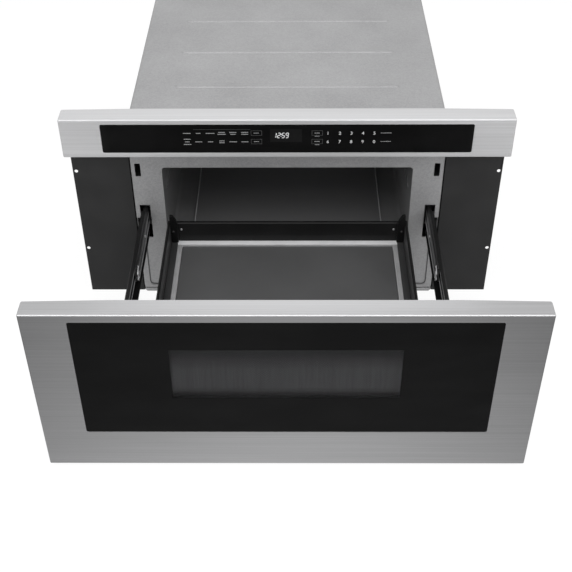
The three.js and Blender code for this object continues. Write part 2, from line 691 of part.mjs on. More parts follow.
const panFloor = sheet + seat;
const transformerX = 128;
const transformerY = 212;
const coreHalf = 52;
const coreDepth = 66;
const coreHeight = 88;
const coreLimb = 18;
const coilHeight = 22;
const coilGap = 4;
const coilClear = 2;
const coilHalf = 36;
const coreY = [transformerY - coreDepth / 2, transformerY + coreDepth / 2];
const core = block([transformerX - coreHalf, transformerX + coreHalf], coreY, [panFloor, panFloor + coreHeight]);
const windingWindows = [-coreHalf / 2, coreHalf / 2].map((offset) => block(
  [transformerX + offset - 11, transformerX + offset + 11], [coreY[0] - 7, coreY[1] + 7],
  [panFloor + coreLimb, panFloor + coreHeight - coreLimb]));
const winding = (low, swell) => prism(roundedRect([transformerX - coilHalf, transformerX + coilHalf],
  [coreY[0] - swell, coreY[1] + swell], 14), 'z', [low, low + coilHeight], 4);
const coilLow = panFloor + coreLimb + coilClear;
const coils = [winding(coilLow, 14), winding(coilLow + coilHeight + coilGap, 11)];
piece('hv_transformer', cutFrom(core, windingWindows).add(joined(coils)), finishes.copper());

const capacitorX = -88;
const stadium = roundedRect([capacitorX - 26, capacitorX + 26], [transformerY - 17, transformerY + 17], 16.9);
const terminal = (offset) => block([capacitorX + offset - 3, capacitorX + offset + 3],
  [transformerY - 0.5, transformerY + 0.5], [panFloor + 27, panFloor + 40]);
piece('hv_capacitor', joined([prism(stadium, 'z', [panFloor, panFloor + 28], 5), terminal(-10), terminal(10)]),
  finishes.brightSteel());

// ---------------------------------------------------------------- cooling fan on the back panel

const shroudRear = backFront - seat;
const shroudDepth = 26;
const shroudHalf = 60;
const shroudFront = shroudRear - shroudDepth;
const shroudBlock = prism(roundedRect([fanX - shroudHalf, fanX + shroudHalf],
  [fanHeight - shroudHalf, fanHeight + shroudHalf], 8), 'y', [shroudFront, shroudRear], 3);
const shroudBore = prism(circle(fanX, fanHeight, fanRadius + 3), 'y', [shroudFront - 1, shroudRear + 1], 12);
const strutAngles = [0, 1, 2].map((index) => Math.PI / 2 + index * Math.PI * 2 / 3);
const struts = strutAngles.map((angle) => {
  const along = new THREE.Vector2(Math.cos(angle), Math.sin(angle));
  const acrossStrut = new THREE.Vector2(-along.y, along.x);
  const corner = (reach, half) => [fanX + along.x * reach + acrossStrut.x * half,
    fanHeight + along.y * reach + acrossStrut.y * half];
  return prism(outline([corner(10, -4), corner(fanRadius + 6, -4), corner(fanRadius + 6, 4), corner(10, 4)]), 'y',
    [shroudFront, shroudFront + 3]);
});
const motorSeat = prism(circle(fanX, fanHeight, 16), 'y', [shroudFront, shroudFront + 3], 6);
const fanShaftRadius = 2.5;
const fanShaftHole = prism(circle(fanX, fanHeight, fanShaftRadius + seat), 'y',
  [shroudFront - 1, shroudFront + 4], 4);
piece('fan_shroud', joined([shroudBlock.subtract(shroudBore), ...struts, motorSeat]).subtract(fanShaftHole),
  finishes.blackPlastic());

const fanMotorFront = shroudFront - seat - 28;
const fanMotorBody = prism(roundedRect([fanX - 24, fanX + 24], [fanHeight - 22, fanHeight + 22], 4), 'y',
  [fanMotorFront, shroudFront - seat], 3);
piece('fan_motor', fanMotorBody.subtract(prism(circle(fanX, fanHeight, fanShaftRadius + seat), 'y',
  [fanMotorFront + 6, shroudFront], 4)), finishes.brightSteel());

const rotorFront = shroudFront + 5;
const rotorRear = shroudRear - 3;
const fanBladeCount = 7;
function fanBlade(index) {
  const steps = 4;
  const rows = [];
  for (let step = 0; step <= steps; step += 1) {
    const radius = 12 + (fanRadius - 12) * step / steps;
    const base = index * Math.PI * 2 / fanBladeCount + 0.25 * step / steps;
    const half = 0.36 - 0.04 * step;
    rows.push({ radius, base, half });
  }
  const positions = [];
  const thickness = 1.6;
  for (const { radius, base, half } of rows) {
    for (const [turn, along] of [[-half, rotorFront], [half, rotorRear - thickness],
      [half, rotorRear], [-half, rotorFront + thickness]]) {
      positions.push(fanX + radius * Math.cos(base + turn), along, fanHeight + radius * Math.sin(base + turn));
    }
  }
  const faces = [0, 1, 2, 0, 2, 3];
  const last = steps * 4;
  faces.push(last, last + 2, last + 1, last, last + 3, last + 2);
  for (let step = 0; step < steps; step += 1) {
    for (let corner = 0; corner < 4; corner += 1) {
      const next = (corner + 1) % 4;
      const low = step * 4;
      const high = low + 4;
      faces.push(low + corner, high + corner, high + next, low + corner, high + next, low + next);
    }
  }
  const geometry = new THREE.BufferGeometry();
  geometry.setAttribute('position', new THREE.Float32BufferAttribute(positions, 3));
  geometry.setIndex(faces);
  const solid = toSolid(geometry);
  return solid.volume() > 0 ? solid : toSolid(mirroredWinding(geometry));
}
function mirroredWinding(geometry) {
  const order = Array.from(geometry.index.array);
  for (let start = 0; start < order.length; start += 3) {
    [order[start], order[start + 1]] = [order[start + 1], order[start]];
  }
  geometry.setIndex(order);
  return geometry;
}
const fanHub = prism(circle(fanX, fanHeight, 15), 'y', [rotorFront, rotorRear], 6);
const fanShaft = prism(circle(fanX, fanHeight, fanShaftRadius), 'y', [fanMotorFront + 6 + seat, rotorRear], 4);
piece('fan_rotor', joined([fanHub, fanShaft,
  ...Array.from({ length: fanBladeCount }, (_, index) => fanBlade(index))]), finishes.blackPlastic());

// ---------------------------------------------------------------- lamp and power board

const lampY = (lampPatchY[0] + lampPatchY[1]) / 2;
const lampZ = (lampPatchZ[0] + lampPatchZ[1]) / 2;
const lampOuter = -cavityOuterHalf - seat;
const lampHood = block([lampOuter - 30, lampOuter], [lampY - 20, lampY + 20], [lampZ - 17, lampZ + 19])
  .subtract(block([lampOuter - 28, lampOuter + 1], [lampY - 18, lampY + 18], [lampZ - 15, lampZ + 17]));
const lampBulb = prism(circle(lampY, lampZ, 8), 'x', [lampOuter - 29, lampOuter - 8], 4);
piece('oven_lamp', lampHood.add(lampBulb), finishes.cream());

const relayBoardTop = chassisHeight - sheet - 14;
const relayBoardWidth = 170;
const relayBoardDepth = 100;
const relayBoardFront = plateBack + 30;
const relayBoard = block([5 - relayBoardWidth / 2, 5 + relayBoardWidth / 2],
  [relayBoardFront, relayBoardFront + relayBoardDepth], [relayBoardTop - 1.6, relayBoardTop]);
const relays = [[-60, 50], [-30, 50], [0, 60], [40, 60]].map(([x, y]) => block([x, x + 20],
  [plateBack + y, plateBack + y + 26], [relayBoardTop - 1, relayBoardTop + 12]));
const postLow = mouthTop + sheet + seat;
const posts = [[-76, 36], [82, 36], [-76, 122], [82, 122]].map(([x, y]) => block([x, x + 5],
  [plateBack + y, plateBack + y + 5], [postLow, relayBoardTop - 1]));
piece('power_board', joined([relayBoard, ...relays, ...posts]), finishes.board());

// ---------------------------------------------------------------- interlocks behind the latch slots

const interlockDepth = 52;
for (const [name, side] of sides) {
  const outerX = latchCentre + latchSlotWidth / 2 + 0.6;
  const body = block([side * (latchCentre - 16), side * outerX], [plateBack + seat, plateBack + seat + interlockDepth],
    [latchSlotBottom - 12, latchSlotTop + 16]);
  const channel = block([side * (latchCentre - latchSlotWidth / 2), side * (outerX - 1.5)],
    [plateBack, plateBack + hookLength + 4], [latchSlotBottom, latchSlotTop]);
  const switchPocket = block([side * (latchCentre - 17), side * (latchCentre - 8)],
    [plateBack + 12, plateBack + 42], [latchSlotTop + 3, latchSlotTop + 12]);
  piece(`interlock_${name}`, body.subtract(channel).subtract(switchPocket), finishes.cream());
}

// ---------------------------------------------------------------- drawer drive

const pitchRadius = toothModule * pinionTeeth / 2;
const baseRadius = pitchRadius * Math.cos(pressureAngle);
const tipRadius = pitchRadius + toothModule * 0.95;
const rootRadius = pitchRadius - toothModule * 1.25;
const pinionY = plateBack + pinionSetback;
const pinionHeight = rackPitchHeight - pitchRadius;
const toothPitch = Math.PI * toothModule;

// The involute's polar angle at a radius, from the base circle.
const involute = (radius) => {
  const alpha = Math.acos(Math.min(1, baseRadius / radius));
  return Math.tan(alpha) - alpha;
};
const halfToothAtPitch = (toothPitch - backlash) / (2 * pitchRadius) / 2;
const pinionPoints = [];
for (let tooth = 0; tooth < pinionTeeth; tooth += 1) {
  const centre = Math.PI / 2 + tooth * Math.PI * 2 / pinionTeeth;
  const flank = [Math.max(baseRadius, rootRadius) + 0.01, pitchRadius, tipRadius];
  const halfAt = (radius) => halfToothAtPitch + involute(pitchRadius) - involute(radius);
  const place = (radius, angle) => pinionPoints.push([pinionY + radius * Math.cos(angle),
    pinionHeight + radius * Math.sin(angle)]);
  place(rootRadius, centre - halfAt(flank[0]) - 0.02);
  flank.forEach((radius) => place(radius, centre - halfAt(radius)));
  [...flank].reverse().forEach((radius) => place(radius, centre + halfAt(radius)));
  place(rootRadius, centre + halfAt(flank[0]) + 0.02);
}
const pinionX = [rackCentre - gearWidth / 2, rackCentre + gearWidth / 2];
const motorFaceX = rackCentre - 22;
const pinionShaft = prism(circle(pinionY, pinionHeight, shaftRadius), 'x', [motorFaceX - 8, pinionX[1] + 3], 4);
piece('drive_pinion', prism(outline(pinionPoints), 'x', pinionX).add(pinionShaft), finishes.cream());

// The rack's tooth spaces are in mesh with the pinion when the drawer is fully open.
const rackTop = rackPitchHeight + rackBar;
const rackRoot = rackPitchHeight + toothModule * 1.25;
const rackTip = rackPitchHeight - toothModule * 0.95;
const rackStart = drawerBack + seat;
const rackEnd = rackStart + rackLength;
const meshPlace = pinionY + drawerTravel;
const slopeTo = (height) => (height - rackPitchHeight) * Math.tan(pressureAngle);
const rackPoints = [[rackStart, rackTop], [rackStart, rackRoot]];
const firstTooth = Math.ceil((rackStart + toothPitch - meshPlace) / toothPitch - 0.5);
const lastTooth = Math.floor((rackEnd - toothPitch - meshPlace) / toothPitch - 0.5);
for (let tooth = firstTooth; tooth <= lastTooth; tooth += 1) {
  const middle = meshPlace + (tooth + 0.5) * toothPitch;
  const half = (toothPitch - backlash) / 4;
  rackPoints.push([middle - half - slopeTo(rackRoot), rackRoot]);
  rackPoints.push([middle - half - slopeTo(rackTip), rackTip]);
  rackPoints.push([middle + half + slopeTo(rackTip), rackTip]);
  rackPoints.push([middle + half + slopeTo(rackRoot), rackRoot]);
}
rackPoints.push([rackEnd, rackRoot], [rackEnd, rackTop]);
const rackFoot = block([rackCentre - rackSlotHalf + 1, rackCentre + rackSlotHalf - 1],
  [rackStart, rackStart + 3], [rackPitchHeight - 6, rackTop + 4]);
piece('drawer_rack', prism(outline(rackPoints), 'x', pinionX).add(rackFoot), finishes.cream(), drawer);

// The geared motor hangs on an angle bracket that is screwed to the base pan.
const bracketSheet = 2;
const bracketFoot = 34;
const bracketRise = 30;
const gearboxReach = 34;
const gearboxRadius = 18;
const gearboxWidth = 16;
const motorLength = 40;
const bracketX = [motorFaceX + seat, motorFaceX + seat + bracketSheet];
const bracketOutline = foldedOutline([[bracketX[0] - bracketFoot, panFloor], [bracketX[1], panFloor],
  [bracketX[1], pinionHeight + bracketRise]], bracketSheet, 3);
const motorBoss = prism(circle(pinionY, pinionHeight, shaftRadius + seat), 'x', [motorFaceX - 1, motorFaceX + 4], 4);
piece('drive_bracket', prism(bracketOutline, 'y', [pinionY - gearboxRadius - 8, pinionY + gearboxReach + 26])
  .subtract(motorBoss), finishes.zinc());

const gearboxOutline = new THREE.Shape();
gearboxOutline.absarc(pinionY, pinionHeight, gearboxRadius, Math.PI / 2, Math.PI * 1.5, false);
gearboxOutline.absarc(pinionY + gearboxReach, pinionHeight, gearboxRadius, -Math.PI / 2, Math.PI / 2, false);
const gearbox = prism(gearboxOutline, 'x', [motorFaceX - gearboxWidth, motorFaceX], 6);
const motorBarrel = prism(circle(pinionY + gearboxReach, pinionHeight, gearboxRadius - 3), 'x',
  [motorFaceX - gearboxWidth - motorLength, motorFaceX - gearboxWidth + 1], 5);
const gearboxBore = prism(circle(pinionY, pinionHeight, shaftRadius + seat), 'x',
  [motorFaceX - 8 - seat, motorFaceX + 1], 4);
piece('drive_motor', gearbox.add(motorBarrel).subtract(gearboxBore), finishes.blackPlastic());

// ---------------------------------------------------------------- telescopic slides

const centreZ = slideCentreHeight;
const sorted = (pair) => [...pair].sort((a, b) => a - b);

// A C-section on its web: web is the web's outer face, reach how far the flanges run (negative runs inwards).
function channelSection(side, web, reach, height) {
  const low = centreZ - height / 2;
  const high = centreZ + height / 2;
  const way = Math.sign(reach);
  const far = web + reach;
  const wall = slideSheet;
  const points = [
    [web, low + wall], [web + way * wall, low], [far, low], [far, low + wall],
    [web + way * (wall + 0.6), low + wall], [web + way * wall, low + wall + 0.6],
    [web + way * wall, high - wall - 0.6], [web + way * (wall + 0.6), high - wall],
    [far, high - wall], [far, high], [web + way * wall, high], [web, high - wall],
  ];
  return outline(points.map(([x, z]) => [side * x, z]));
}

// A ball cage: a U-strip with a row of balls seated in each flange.
function ballCage(side, web, reach, ballRadius, rowHeight, front) {
  const low = centreZ - rowHeight;
  const high = centreZ + rowHeight;
  const strip = prism(outline([
    [web, low - cageSheet / 2], [web + reach, low - cageSheet / 2], [web + reach, low + cageSheet / 2],
    [web + cageSheet, low + cageSheet / 2], [web + cageSheet, high - cageSheet / 2],
    [web + reach, high - cageSheet / 2], [web + reach, high + cageSheet / 2], [web, high + cageSheet / 2],
  ].map(([x, z]) => [side * x, z])), 'y', [front, front + cageLength]);
  const pitch = (cageLength - 20) / (ballsPerRow - 1);
  const balls = [];
  for (let index = 0; index < ballsPerRow; index += 1) {
    for (const z of [low, high]) {
      const ball = new THREE.SphereGeometry(ballRadius, 6, 4);
      ball.rotateX(Math.PI / 2);
      ball.translate(side * (web + reach - ballRadius - 0.2), front + 10 + index * pitch, z);
      balls.push(toSolid(ball));
    }
  }
  return joined([strip, ...balls]);
}

const armFront = drawerBack + seat;
const armRear = boxRear;
const memberOuter = armOuter - armSheet - seat;
const middleFront = plateFace + middleMemberSetback;
const cabinetRear = cavityFront + cabinetMemberLength;
const cabinetInnerTop = cabinetMemberHeight / 2 - slideSheet;
const outerRowHeight = (cabinetInnerTop + middleMemberHeight / 2) / 2;
const outerBallRadius = (cabinetInnerTop - middleMemberHeight / 2) / 2 - seat;
const middleInnerTop = middleMemberHeight / 2 - slideSheet;
const innerRowHeight = (middleInnerTop + drawerMemberHeight / 2) / 2;
const innerBallRadius = (middleInnerTop - drawerMemberHeight / 2) / 2 - seat;
const outerCageFront = plateFace + outerCageSetback + drawerTravel / 4;
const innerCageFront = middleFront + innerCageSetback;
const railRise = 26;
const railFall = 30;
const railFoot = 14;
const railSheet = 1.5;

for (const [name, side] of sides) {
  const arm = new THREE.Shape();
  const low = armBottom;
  const high = armBottom + armHeight;
  arm.copy(foldedOutline(side > 0
    ? [[armOuter - armBottomReach, low], [armOuter, low], [armOuter, high], [armOuter - armTopReach, high]]
    : [[-armOuter + armTopReach, high], [-armOuter, high], [-armOuter, low], [-armOuter + armBottomReach, low]],
  armSheet, 2.6));
  const armFoot = block([side * (armOuter - 1), side * (armOuter - 9.5)], [armFront, armFront + 2],
    [low + 0.5, high - 0.5]);
  piece(`slide_arm_${name}`, prism(arm, 'y', [armFront, armRear]).add(armFoot), finishes.blackSteel(), drawer);

  piece(`slide_drawer_member_${name}`, prism(
    channelSection(side, memberOuter, -drawerMemberReach, drawerMemberHeight), 'y',
    [armFront + 3, armRear - 6]), finishes.slideSteel(), drawer);

  const middle = new THREE.Group();
  middle.position.y = -drawerTravel / 2;
  group.add(middle);
  piece(`slide_middle_member_${name}`, prism(
    channelSection(side, middleMemberInner, middleMemberReach, middleMemberHeight), 'y',
    [middleFront, middleFront + middleMemberLength]), finishes.slideSteel(), middle);

  piece(`slide_cabinet_member_${name}`, prism(
    channelSection(side, cabinetMemberInner, cabinetMemberReach, cabinetMemberHeight), 'y',
    [cavityFront + 3, cabinetRear]), finishes.slideSteel());

  const outerCage = new THREE.Group();
  outerCage.position.y = -drawerTravel / 4;
  group.add(outerCage);
  piece(`ball_cage_outer_${name}`, ballCage(side, middleMemberInner - 2.6, outerCageReach, outerBallRadius,
    outerRowHeight, outerCageFront), finishes.brightSteel(), outerCage);

  const innerCage = new THREE.Group();
  innerCage.position.y = -drawerTravel * 3 / 4;
  group.add(innerCage);
  piece(`ball_cage_inner_${name}`, ballCage(side, middleMemberInner + slideSheet + 1.2, innerCageReach,
    innerBallRadius, innerRowHeight, innerCageFront), finishes.brightSteel(), innerCage);

  // The carrier joins the front plate to the back panel beside the oven and holds the cabinet member.
  const carrierX = cabinetMemberInner - seat;
  const carrierHigh = centreZ + railRise;
  const carrierLow = centreZ - railFall;
  const railFront = cavityFront + sheet + seat;
  const carrierOutline = outline([
    [carrierX, carrierLow], [carrierX, carrierHigh], [carrierX - railSheet, carrierHigh],
    [carrierX - railSheet, carrierLow + railSheet], [carrierX - railFoot, carrierLow + railSheet],
    [carrierX - railFoot, carrierLow],
  ].map(([x, z]) => [side * x, z]));
  const carrierFlange = block([side * (carrierX - railFoot), side * carrierX], [railFront, railFront + railSheet],
    [carrierLow, carrierHigh]);
  piece(`slide_carrier_${name}`, prism(carrierOutline, 'y', [railFront, backFront - seat])
    .add(carrierFlange), finishes.zinc());
}

// ---------------------------------------------------------------- drawer front

const drawerPan = foldedPan([-halfFront, halfFront], [fasciaFace, drawerBack], [drawerBottom, drawerTop],
  skinSheet, skinBend);
piece('drawer_front_skin', cutFrom(drawerPan, [
  ...cornerCuts(drawerBack, drawerBottom, drawerTop),
  glassOpening(doorGlassWidth, doorGlassBottom, doorGlassHeight, [fasciaFace - 1, fasciaFace + 5]),
]), finishes.stainless(), drawer);

piece('door_glass', glassPane(doorGlassWidth, doorGlassBottom, doorGlassHeight, fasciaFace),
  finishes.blackGlass(), drawer);

// The screen is a dished sheet: its rim seats on the glass and its field carries the fine holes.
const screenSheet = 0.8;
const screenRim = 14;
const screenDish = 5;
const screenFront = fasciaFace + glassThickness + seat;
const windowTop = windowBottom + windowHeight;
const screenX = windowWidth / 2 + screenRim;
const screenOuter = block([-screenX, screenX], [screenFront, screenFront + screenSheet],
  [windowBottom - screenRim, windowTop + screenRim]);
const dishOuter = prism(roundedRect([-windowWidth / 2 - 3, windowWidth / 2 + 3], [windowBottom - 3, windowTop + 3], 6),
  'y', [screenFront, screenFront + screenDish], 3);
const dishInner = prism(roundedRect([-windowWidth / 2 - 2, windowWidth / 2 + 2], [windowBottom - 2, windowTop + 2], 5),
  'y', [screenFront - 1, screenFront + screenDish - screenSheet], 3);
piece('window_screen', screenOuter.add(dishOuter).subtract(dishInner), finishes.blackSteel(), drawer);

// The inner panel closes the back of the front and has a large opening for the choke.
const chokeHalf = 247.2;
const chokeLow = mouthBottom - 19;
const chokeHigh = mouthTop + 21.3;
const innerInset = skinSheet + seat;
const innerDepth = 16;
const innerPanFront = drawerBack - innerDepth;
const innerPan = foldedPan([-halfFront + innerInset + rearCornerCut, halfFront - innerInset - rearCornerCut],
  [-drawerBack, -innerPanFront], [drawerBottom + innerInset, drawerTop - innerInset], panelSheet, skinBend);
const innerPanel = toSolid(toGeometry(innerPan).rotateZ(Math.PI));
const chokeOpening = prism(roundedRect([-chokeHalf - seat, chokeHalf + seat],
  [chokeLow - seat, chokeHigh + seat], 4), 'y', [drawerBack - 4, drawerBack + 1], 3);
piece('drawer_inner_panel', innerPanel.subtract(chokeOpening), finishes.zinc(), drawer);

// The choke: a pan with a raised centre, whose groove and slotted outer wall stop the microwaves at the seam.
const chokeSheet = 1.2;
const chokeDepth = 21;
const centreHalf = 221.5;
const centreLow = mouthBottom + 1;
const centreHigh = mouthTop + 2.3;
const panWall = (inset, yRange, corner) => prism(roundedRect([-chokeHalf + inset, chokeHalf - inset],
  [chokeLow + inset, chokeHigh - inset], corner), 'y', yRange, 3);
const centreWall = (inset, yRange, corner) => prism(roundedRect([-centreHalf + inset, centreHalf - inset],
  [centreLow + inset, centreHigh - inset], corner), 'y', yRange, 3);
const chokeFloor = drawerBack - chokeDepth;
const chokeShell = panWall(0, [chokeFloor, drawerBack], 4)
  .subtract(panWall(chokeSheet, [chokeFloor + chokeSheet, drawerBack + 1], 3))
  .add(centreWall(0, [chokeFloor, drawerBack], 4))
  .subtract(centreWall(chokeSheet, [chokeFloor - 1, drawerBack - chokeSheet], 3));
const chokeSlots = [];
const slotPitch = 56;
const slotWidth = 8;
for (let x = -3.5; x <= 3.5; x += 1) {
  for (const z of [chokeLow, chokeHigh]) {
    chokeSlots.push(block([x * slotPitch - slotWidth / 2, x * slotPitch + slotWidth / 2],
      [chokeFloor + 6, drawerBack - 3], [z - 2, z + 2]));
  }
}
for (let index = -1; index <= 1; index += 1) {
  const z = (chokeLow + chokeHigh) / 2 + index * slotPitch;
  for (const x of [-chokeHalf, chokeHalf]) {
    chokeSlots.push(block([x - 2, x + 2], [chokeFloor + 6, drawerBack - 3], [z - slotWidth / 2, z + slotWidth / 2]));
  }
}
const innerWindow = prism(roundedRect([-windowWidth / 2 - 4, windowWidth / 2 + 4], [windowBottom - 4, windowTop + 4],
  6), 'y', [drawerBack - 4, drawerBack + 1], 3);
piece('choke_frame', cutFrom(chokeShell, [...chokeSlots, innerWindow]), finishes.blackSteel(), drawer);

const paneBack = drawerBack - chokeSheet - seat;
piece('inner_window', prism(roundedRect([-windowWidth / 2 - 16, windowWidth / 2 + 16],
  [windowBottom - 16, windowTop + 16], 6), 'y', [paneBack - 3, paneBack], 3), finishes.clearGlass(), drawer);

// The choke cover is a plastic ring over the groove, inside the closing gap.
const coverThickness = 2;
const coverLap = 1.8;
const ringHalf = boxWidth / 2 + 1.5;
const ringLow = mouthBottom + 6;
const ringHigh = mouthTop - 2.7;
const ringOuter = roundedRect([-chokeHalf - coverLap, chokeHalf + coverLap],
  [chokeLow - coverLap, chokeHigh + coverLap], 6);
const ringInner = roundedRect([-ringHalf, ringHalf], [ringLow, ringHigh], 5);
const coverRing = prism(ringOuter, 'y', [drawerBack + seat, drawerBack + seat + coverThickness], 4)
  .subtract(prism(ringInner, 'y', [drawerBack, drawerBack + seat + coverThickness + 1], 4));
piece('choke_cover', coverRing, finishes.blackPlastic(), drawer);

for (const [name, side] of sides) {
  const middleHeight = (latchSlotBottom + latchSlotTop) / 2;
  const tip = drawerBack + seat + hookLength;
  const blade = new THREE.Shape();
  blade.moveTo(drawerBack + seat, middleHeight - hookHeight / 2);
  blade.lineTo(tip - 12, middleHeight - hookHeight / 2 + 4);
  blade.lineTo(tip - 12, middleHeight - 1);
  blade.lineTo(tip - 9, middleHeight - hookHeight / 2 + 5);
  blade.lineTo(tip - 2, middleHeight - hookHeight / 2 + 5);
  blade.quadraticCurveTo(tip, middleHeight, tip - 5, middleHeight + hookHeight / 2 - 3);
  blade.lineTo(drawerBack + seat, middleHeight + hookHeight / 2);
  const plate = prism(blade, 'x', sorted([side * (latchCentre - hookThickness / 2),
    side * (latchCentre + hookThickness / 2)]), 4);
  const foot = block([side * (latchCentre - 9), side * (latchCentre + 9)],
    [drawerBack + seat, drawerBack + seat + 1.8], [middleHeight - hookHeight / 2, middleHeight + hookHeight / 2]);
  piece(`latch_hook_${name}`, plate.add(foot), finishes.brightSteel(), drawer);
}

// ---------------------------------------------------------------- drawer box and tray

// The side beam's section steps in from the rim to a ledge, and its foot carries the tray.
const boxHalf = boxWidth / 2;
const ledgeHalf = boxHalf - rimThickness - ledgeWidth;
const trayShelf = ledgeHeight - 8.7;
const shelfReach = 14;
const shelfThickness = 4;
function sideBeam(side) {
  const shape = new THREE.Shape();
  const wall = boxHalf - rimThickness;
  const fillet = 2.6;
  const point = (x, z) => [side * x, z];
  shape.moveTo(...point(boxHalf, boxBottom));
  shape.lineTo(...point(boxHalf, rimHeight - 1));
  shape.lineTo(...point(boxHalf - 1, rimHeight));
  shape.lineTo(...point(wall + 1, rimHeight));
  shape.lineTo(...point(wall, rimHeight - 1));
  shape.lineTo(...point(wall, ledgeHeight + fillet));
  shape.quadraticCurveTo(...point(wall, ledgeHeight), ...point(wall - fillet, ledgeHeight));
  shape.lineTo(...point(ledgeHalf, ledgeHeight));
  shape.lineTo(...point(ledgeHalf, trayShelf));
  shape.lineTo(...point(ledgeHalf - shelfReach, trayShelf));
  shape.lineTo(...point(ledgeHalf - shelfReach, trayShelf - shelfThickness));
  shape.lineTo(...point(ledgeHalf + 2, trayShelf - shelfThickness));
  shape.lineTo(...point(ledgeHalf + 5, boxBottom));
  return prism(shape, 'y', [boxFront, boxRear], 3);
}
const rearInner = boxRear - rearRimThickness;
const rearBeam = prism(outline([
  [boxRear, boxBottom], [boxRear, rimHeight - 1], [boxRear - 1, rimHeight], [rearInner + 1, rimHeight],
  [rearInner, rimHeight - 1], [rearInner, trayShelf], [rearInner - shelfReach, trayShelf],
  [rearInner - shelfReach, trayShelf - shelfThickness], [rearInner + 1, trayShelf - shelfThickness],
  [rearInner + 2, boxBottom],
]), 'x', [-boxHalf + 0.5, boxHalf - 0.5]);
const frontBeam = block([-boxHalf + 0.5, boxHalf - 0.5], [boxFront, boxFront + 8],
  [boxBottom, trayShelf]);
const trayFront = boxFront + 0.6;
piece('drawer_box', joined([sideBeam(-1), sideBeam(1), rearBeam, frontBeam]), finishes.blackSteel(), drawer);

const trimHalf = ledgeHalf - seat;
const trimRear = rearInner - seat;
const trimTop = ledgeHeight;
const trimOuter = block([-trimHalf, trimHalf], [trayFront, trimRear], [trayShelf + seat, trimTop]);
const trimInner = block([-trimHalf + trimWidth, trimHalf - trimWidth], [trayFront + trimWidth, trimRear - rearTrimWidth],
  [trayShelf - 1, trimTop + 1]);
const bevelOf = (half, front, rear) => outline([[-half, front], [half, front], [half, rear], [-half, rear]]);
const trimBevel = prism(bevelOf(trimHalf - trimWidth + 1.2, trayFront + trimWidth - 1.2, trimRear - rearTrimWidth + 1.2),
  'z', [trimTop - 0.8, trimTop + 1]);
piece('tray_trim', trimOuter.subtract(trimInner).subtract(trimBevel), finishes.brightSteel(), drawer);

const trayHalf = trimHalf - trimWidth - seat;
piece('glass_tray', prism(roundedRect([-trayHalf, trayHalf],
  [trayFront + trimWidth + seat, trimRear - rearTrimWidth - seat], 2), 'z',
[trayShelf + seat, trayShelf + seat + trayThickness], 3), finishes.greyGlass(), drawer);

// A moulded cap stands in each rear corner and rises above the rim.
for (const [name, side] of sides) {
  const wall = boxHalf - rimThickness - seat;
  const capTop = rimHeight + capRise;
  const capShape = outline([
    [wall, ledgeHeight + 3], [wall, capTop - 1], [wall - 1, capTop], [wall - 6, capTop - 1],
    [wall - 12, rimHeight + 8], [wall - 13.3, rimHeight - 2], [wall - 13.3, ledgeHeight + seat],
    [wall - 3, ledgeHeight + seat],
  ].map(([x, z]) => [side * x, z]));
  piece(`corner_cap_${name}`, prism(capShape, 'y', [trimRear - capThickness, trimRear]),
    finishes.blackPlastic(), drawer);
}

export default group;
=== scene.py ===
import math

import bmesh
import bpy
import numpy as np
from mathutils import Matrix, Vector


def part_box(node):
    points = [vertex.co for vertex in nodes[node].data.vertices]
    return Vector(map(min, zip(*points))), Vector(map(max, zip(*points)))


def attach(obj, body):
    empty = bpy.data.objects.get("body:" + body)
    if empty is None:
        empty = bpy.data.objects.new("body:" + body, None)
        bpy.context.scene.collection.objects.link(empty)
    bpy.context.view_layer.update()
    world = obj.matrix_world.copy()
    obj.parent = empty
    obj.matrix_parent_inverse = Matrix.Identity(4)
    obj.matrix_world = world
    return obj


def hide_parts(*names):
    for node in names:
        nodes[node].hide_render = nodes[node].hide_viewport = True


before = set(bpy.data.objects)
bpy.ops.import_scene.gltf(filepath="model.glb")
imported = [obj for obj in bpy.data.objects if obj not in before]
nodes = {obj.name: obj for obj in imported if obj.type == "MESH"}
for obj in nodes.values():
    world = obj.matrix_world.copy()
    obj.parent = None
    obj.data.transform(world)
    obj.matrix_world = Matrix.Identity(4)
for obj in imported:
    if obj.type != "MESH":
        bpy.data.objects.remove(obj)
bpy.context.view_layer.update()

# ---------------------------------------------------------------------
# Studio: a camera above and in front of the open drawer, a pale floor that keeps the shadow, a white
# surround, a wide soft lamp above the front, weaker ones in front, high behind and at each side.


def unit(vectors):
    """Vectors (..., 3) or (..., 2) of length one with the same directions."""
    return vectors / np.linalg.norm(vectors, axis=-1, keepdims=True)


def set_up(item, **settings):
    """The item, after each named setting has been given its value."""
    for key, value in settings.items():
        setattr(item, key, value)
    return item


def put_at(place, name, data, side, lift, back):
    """An object at place whose own x, y and z axes lie along side, lift and back."""
    item = bpy.data.objects.new(name, data)
    item.matrix_world = Matrix([*zip(side, lift, back, place), (0, 0, 0, 1)])
    bpy.context.collection.objects.link(item)
    return item


camera_place = (0.01128, -1.79107, 1.29077)
camera_pitch, camera_turn, camera_roll = (math.radians(angle) for angle in (40.218, -0.558, -0.37))
look = np.array([math.sin(camera_turn) * math.cos(camera_pitch),
                 math.cos(camera_turn) * math.cos(camera_pitch), -math.sin(camera_pitch)])
level_right = unit(np.cross(look, [0, 0, 1]))
level_up = np.cross(level_right, look)
right = math.cos(camera_roll) * level_right + math.sin(camera_roll) * level_up
up = -math.sin(camera_roll) * level_right + math.cos(camera_roll) * level_up
lens = set_up(bpy.data.cameras.new("photo_camera"), sensor_fit="HORIZONTAL", sensor_width=36.0, lens=64.87,
              clip_end=50.0)
bpy.context.scene.camera = put_at(camera_place, "photo_camera", lens, right, up, -look)
bpy.context.scene.view_settings.view_transform = "Standard"


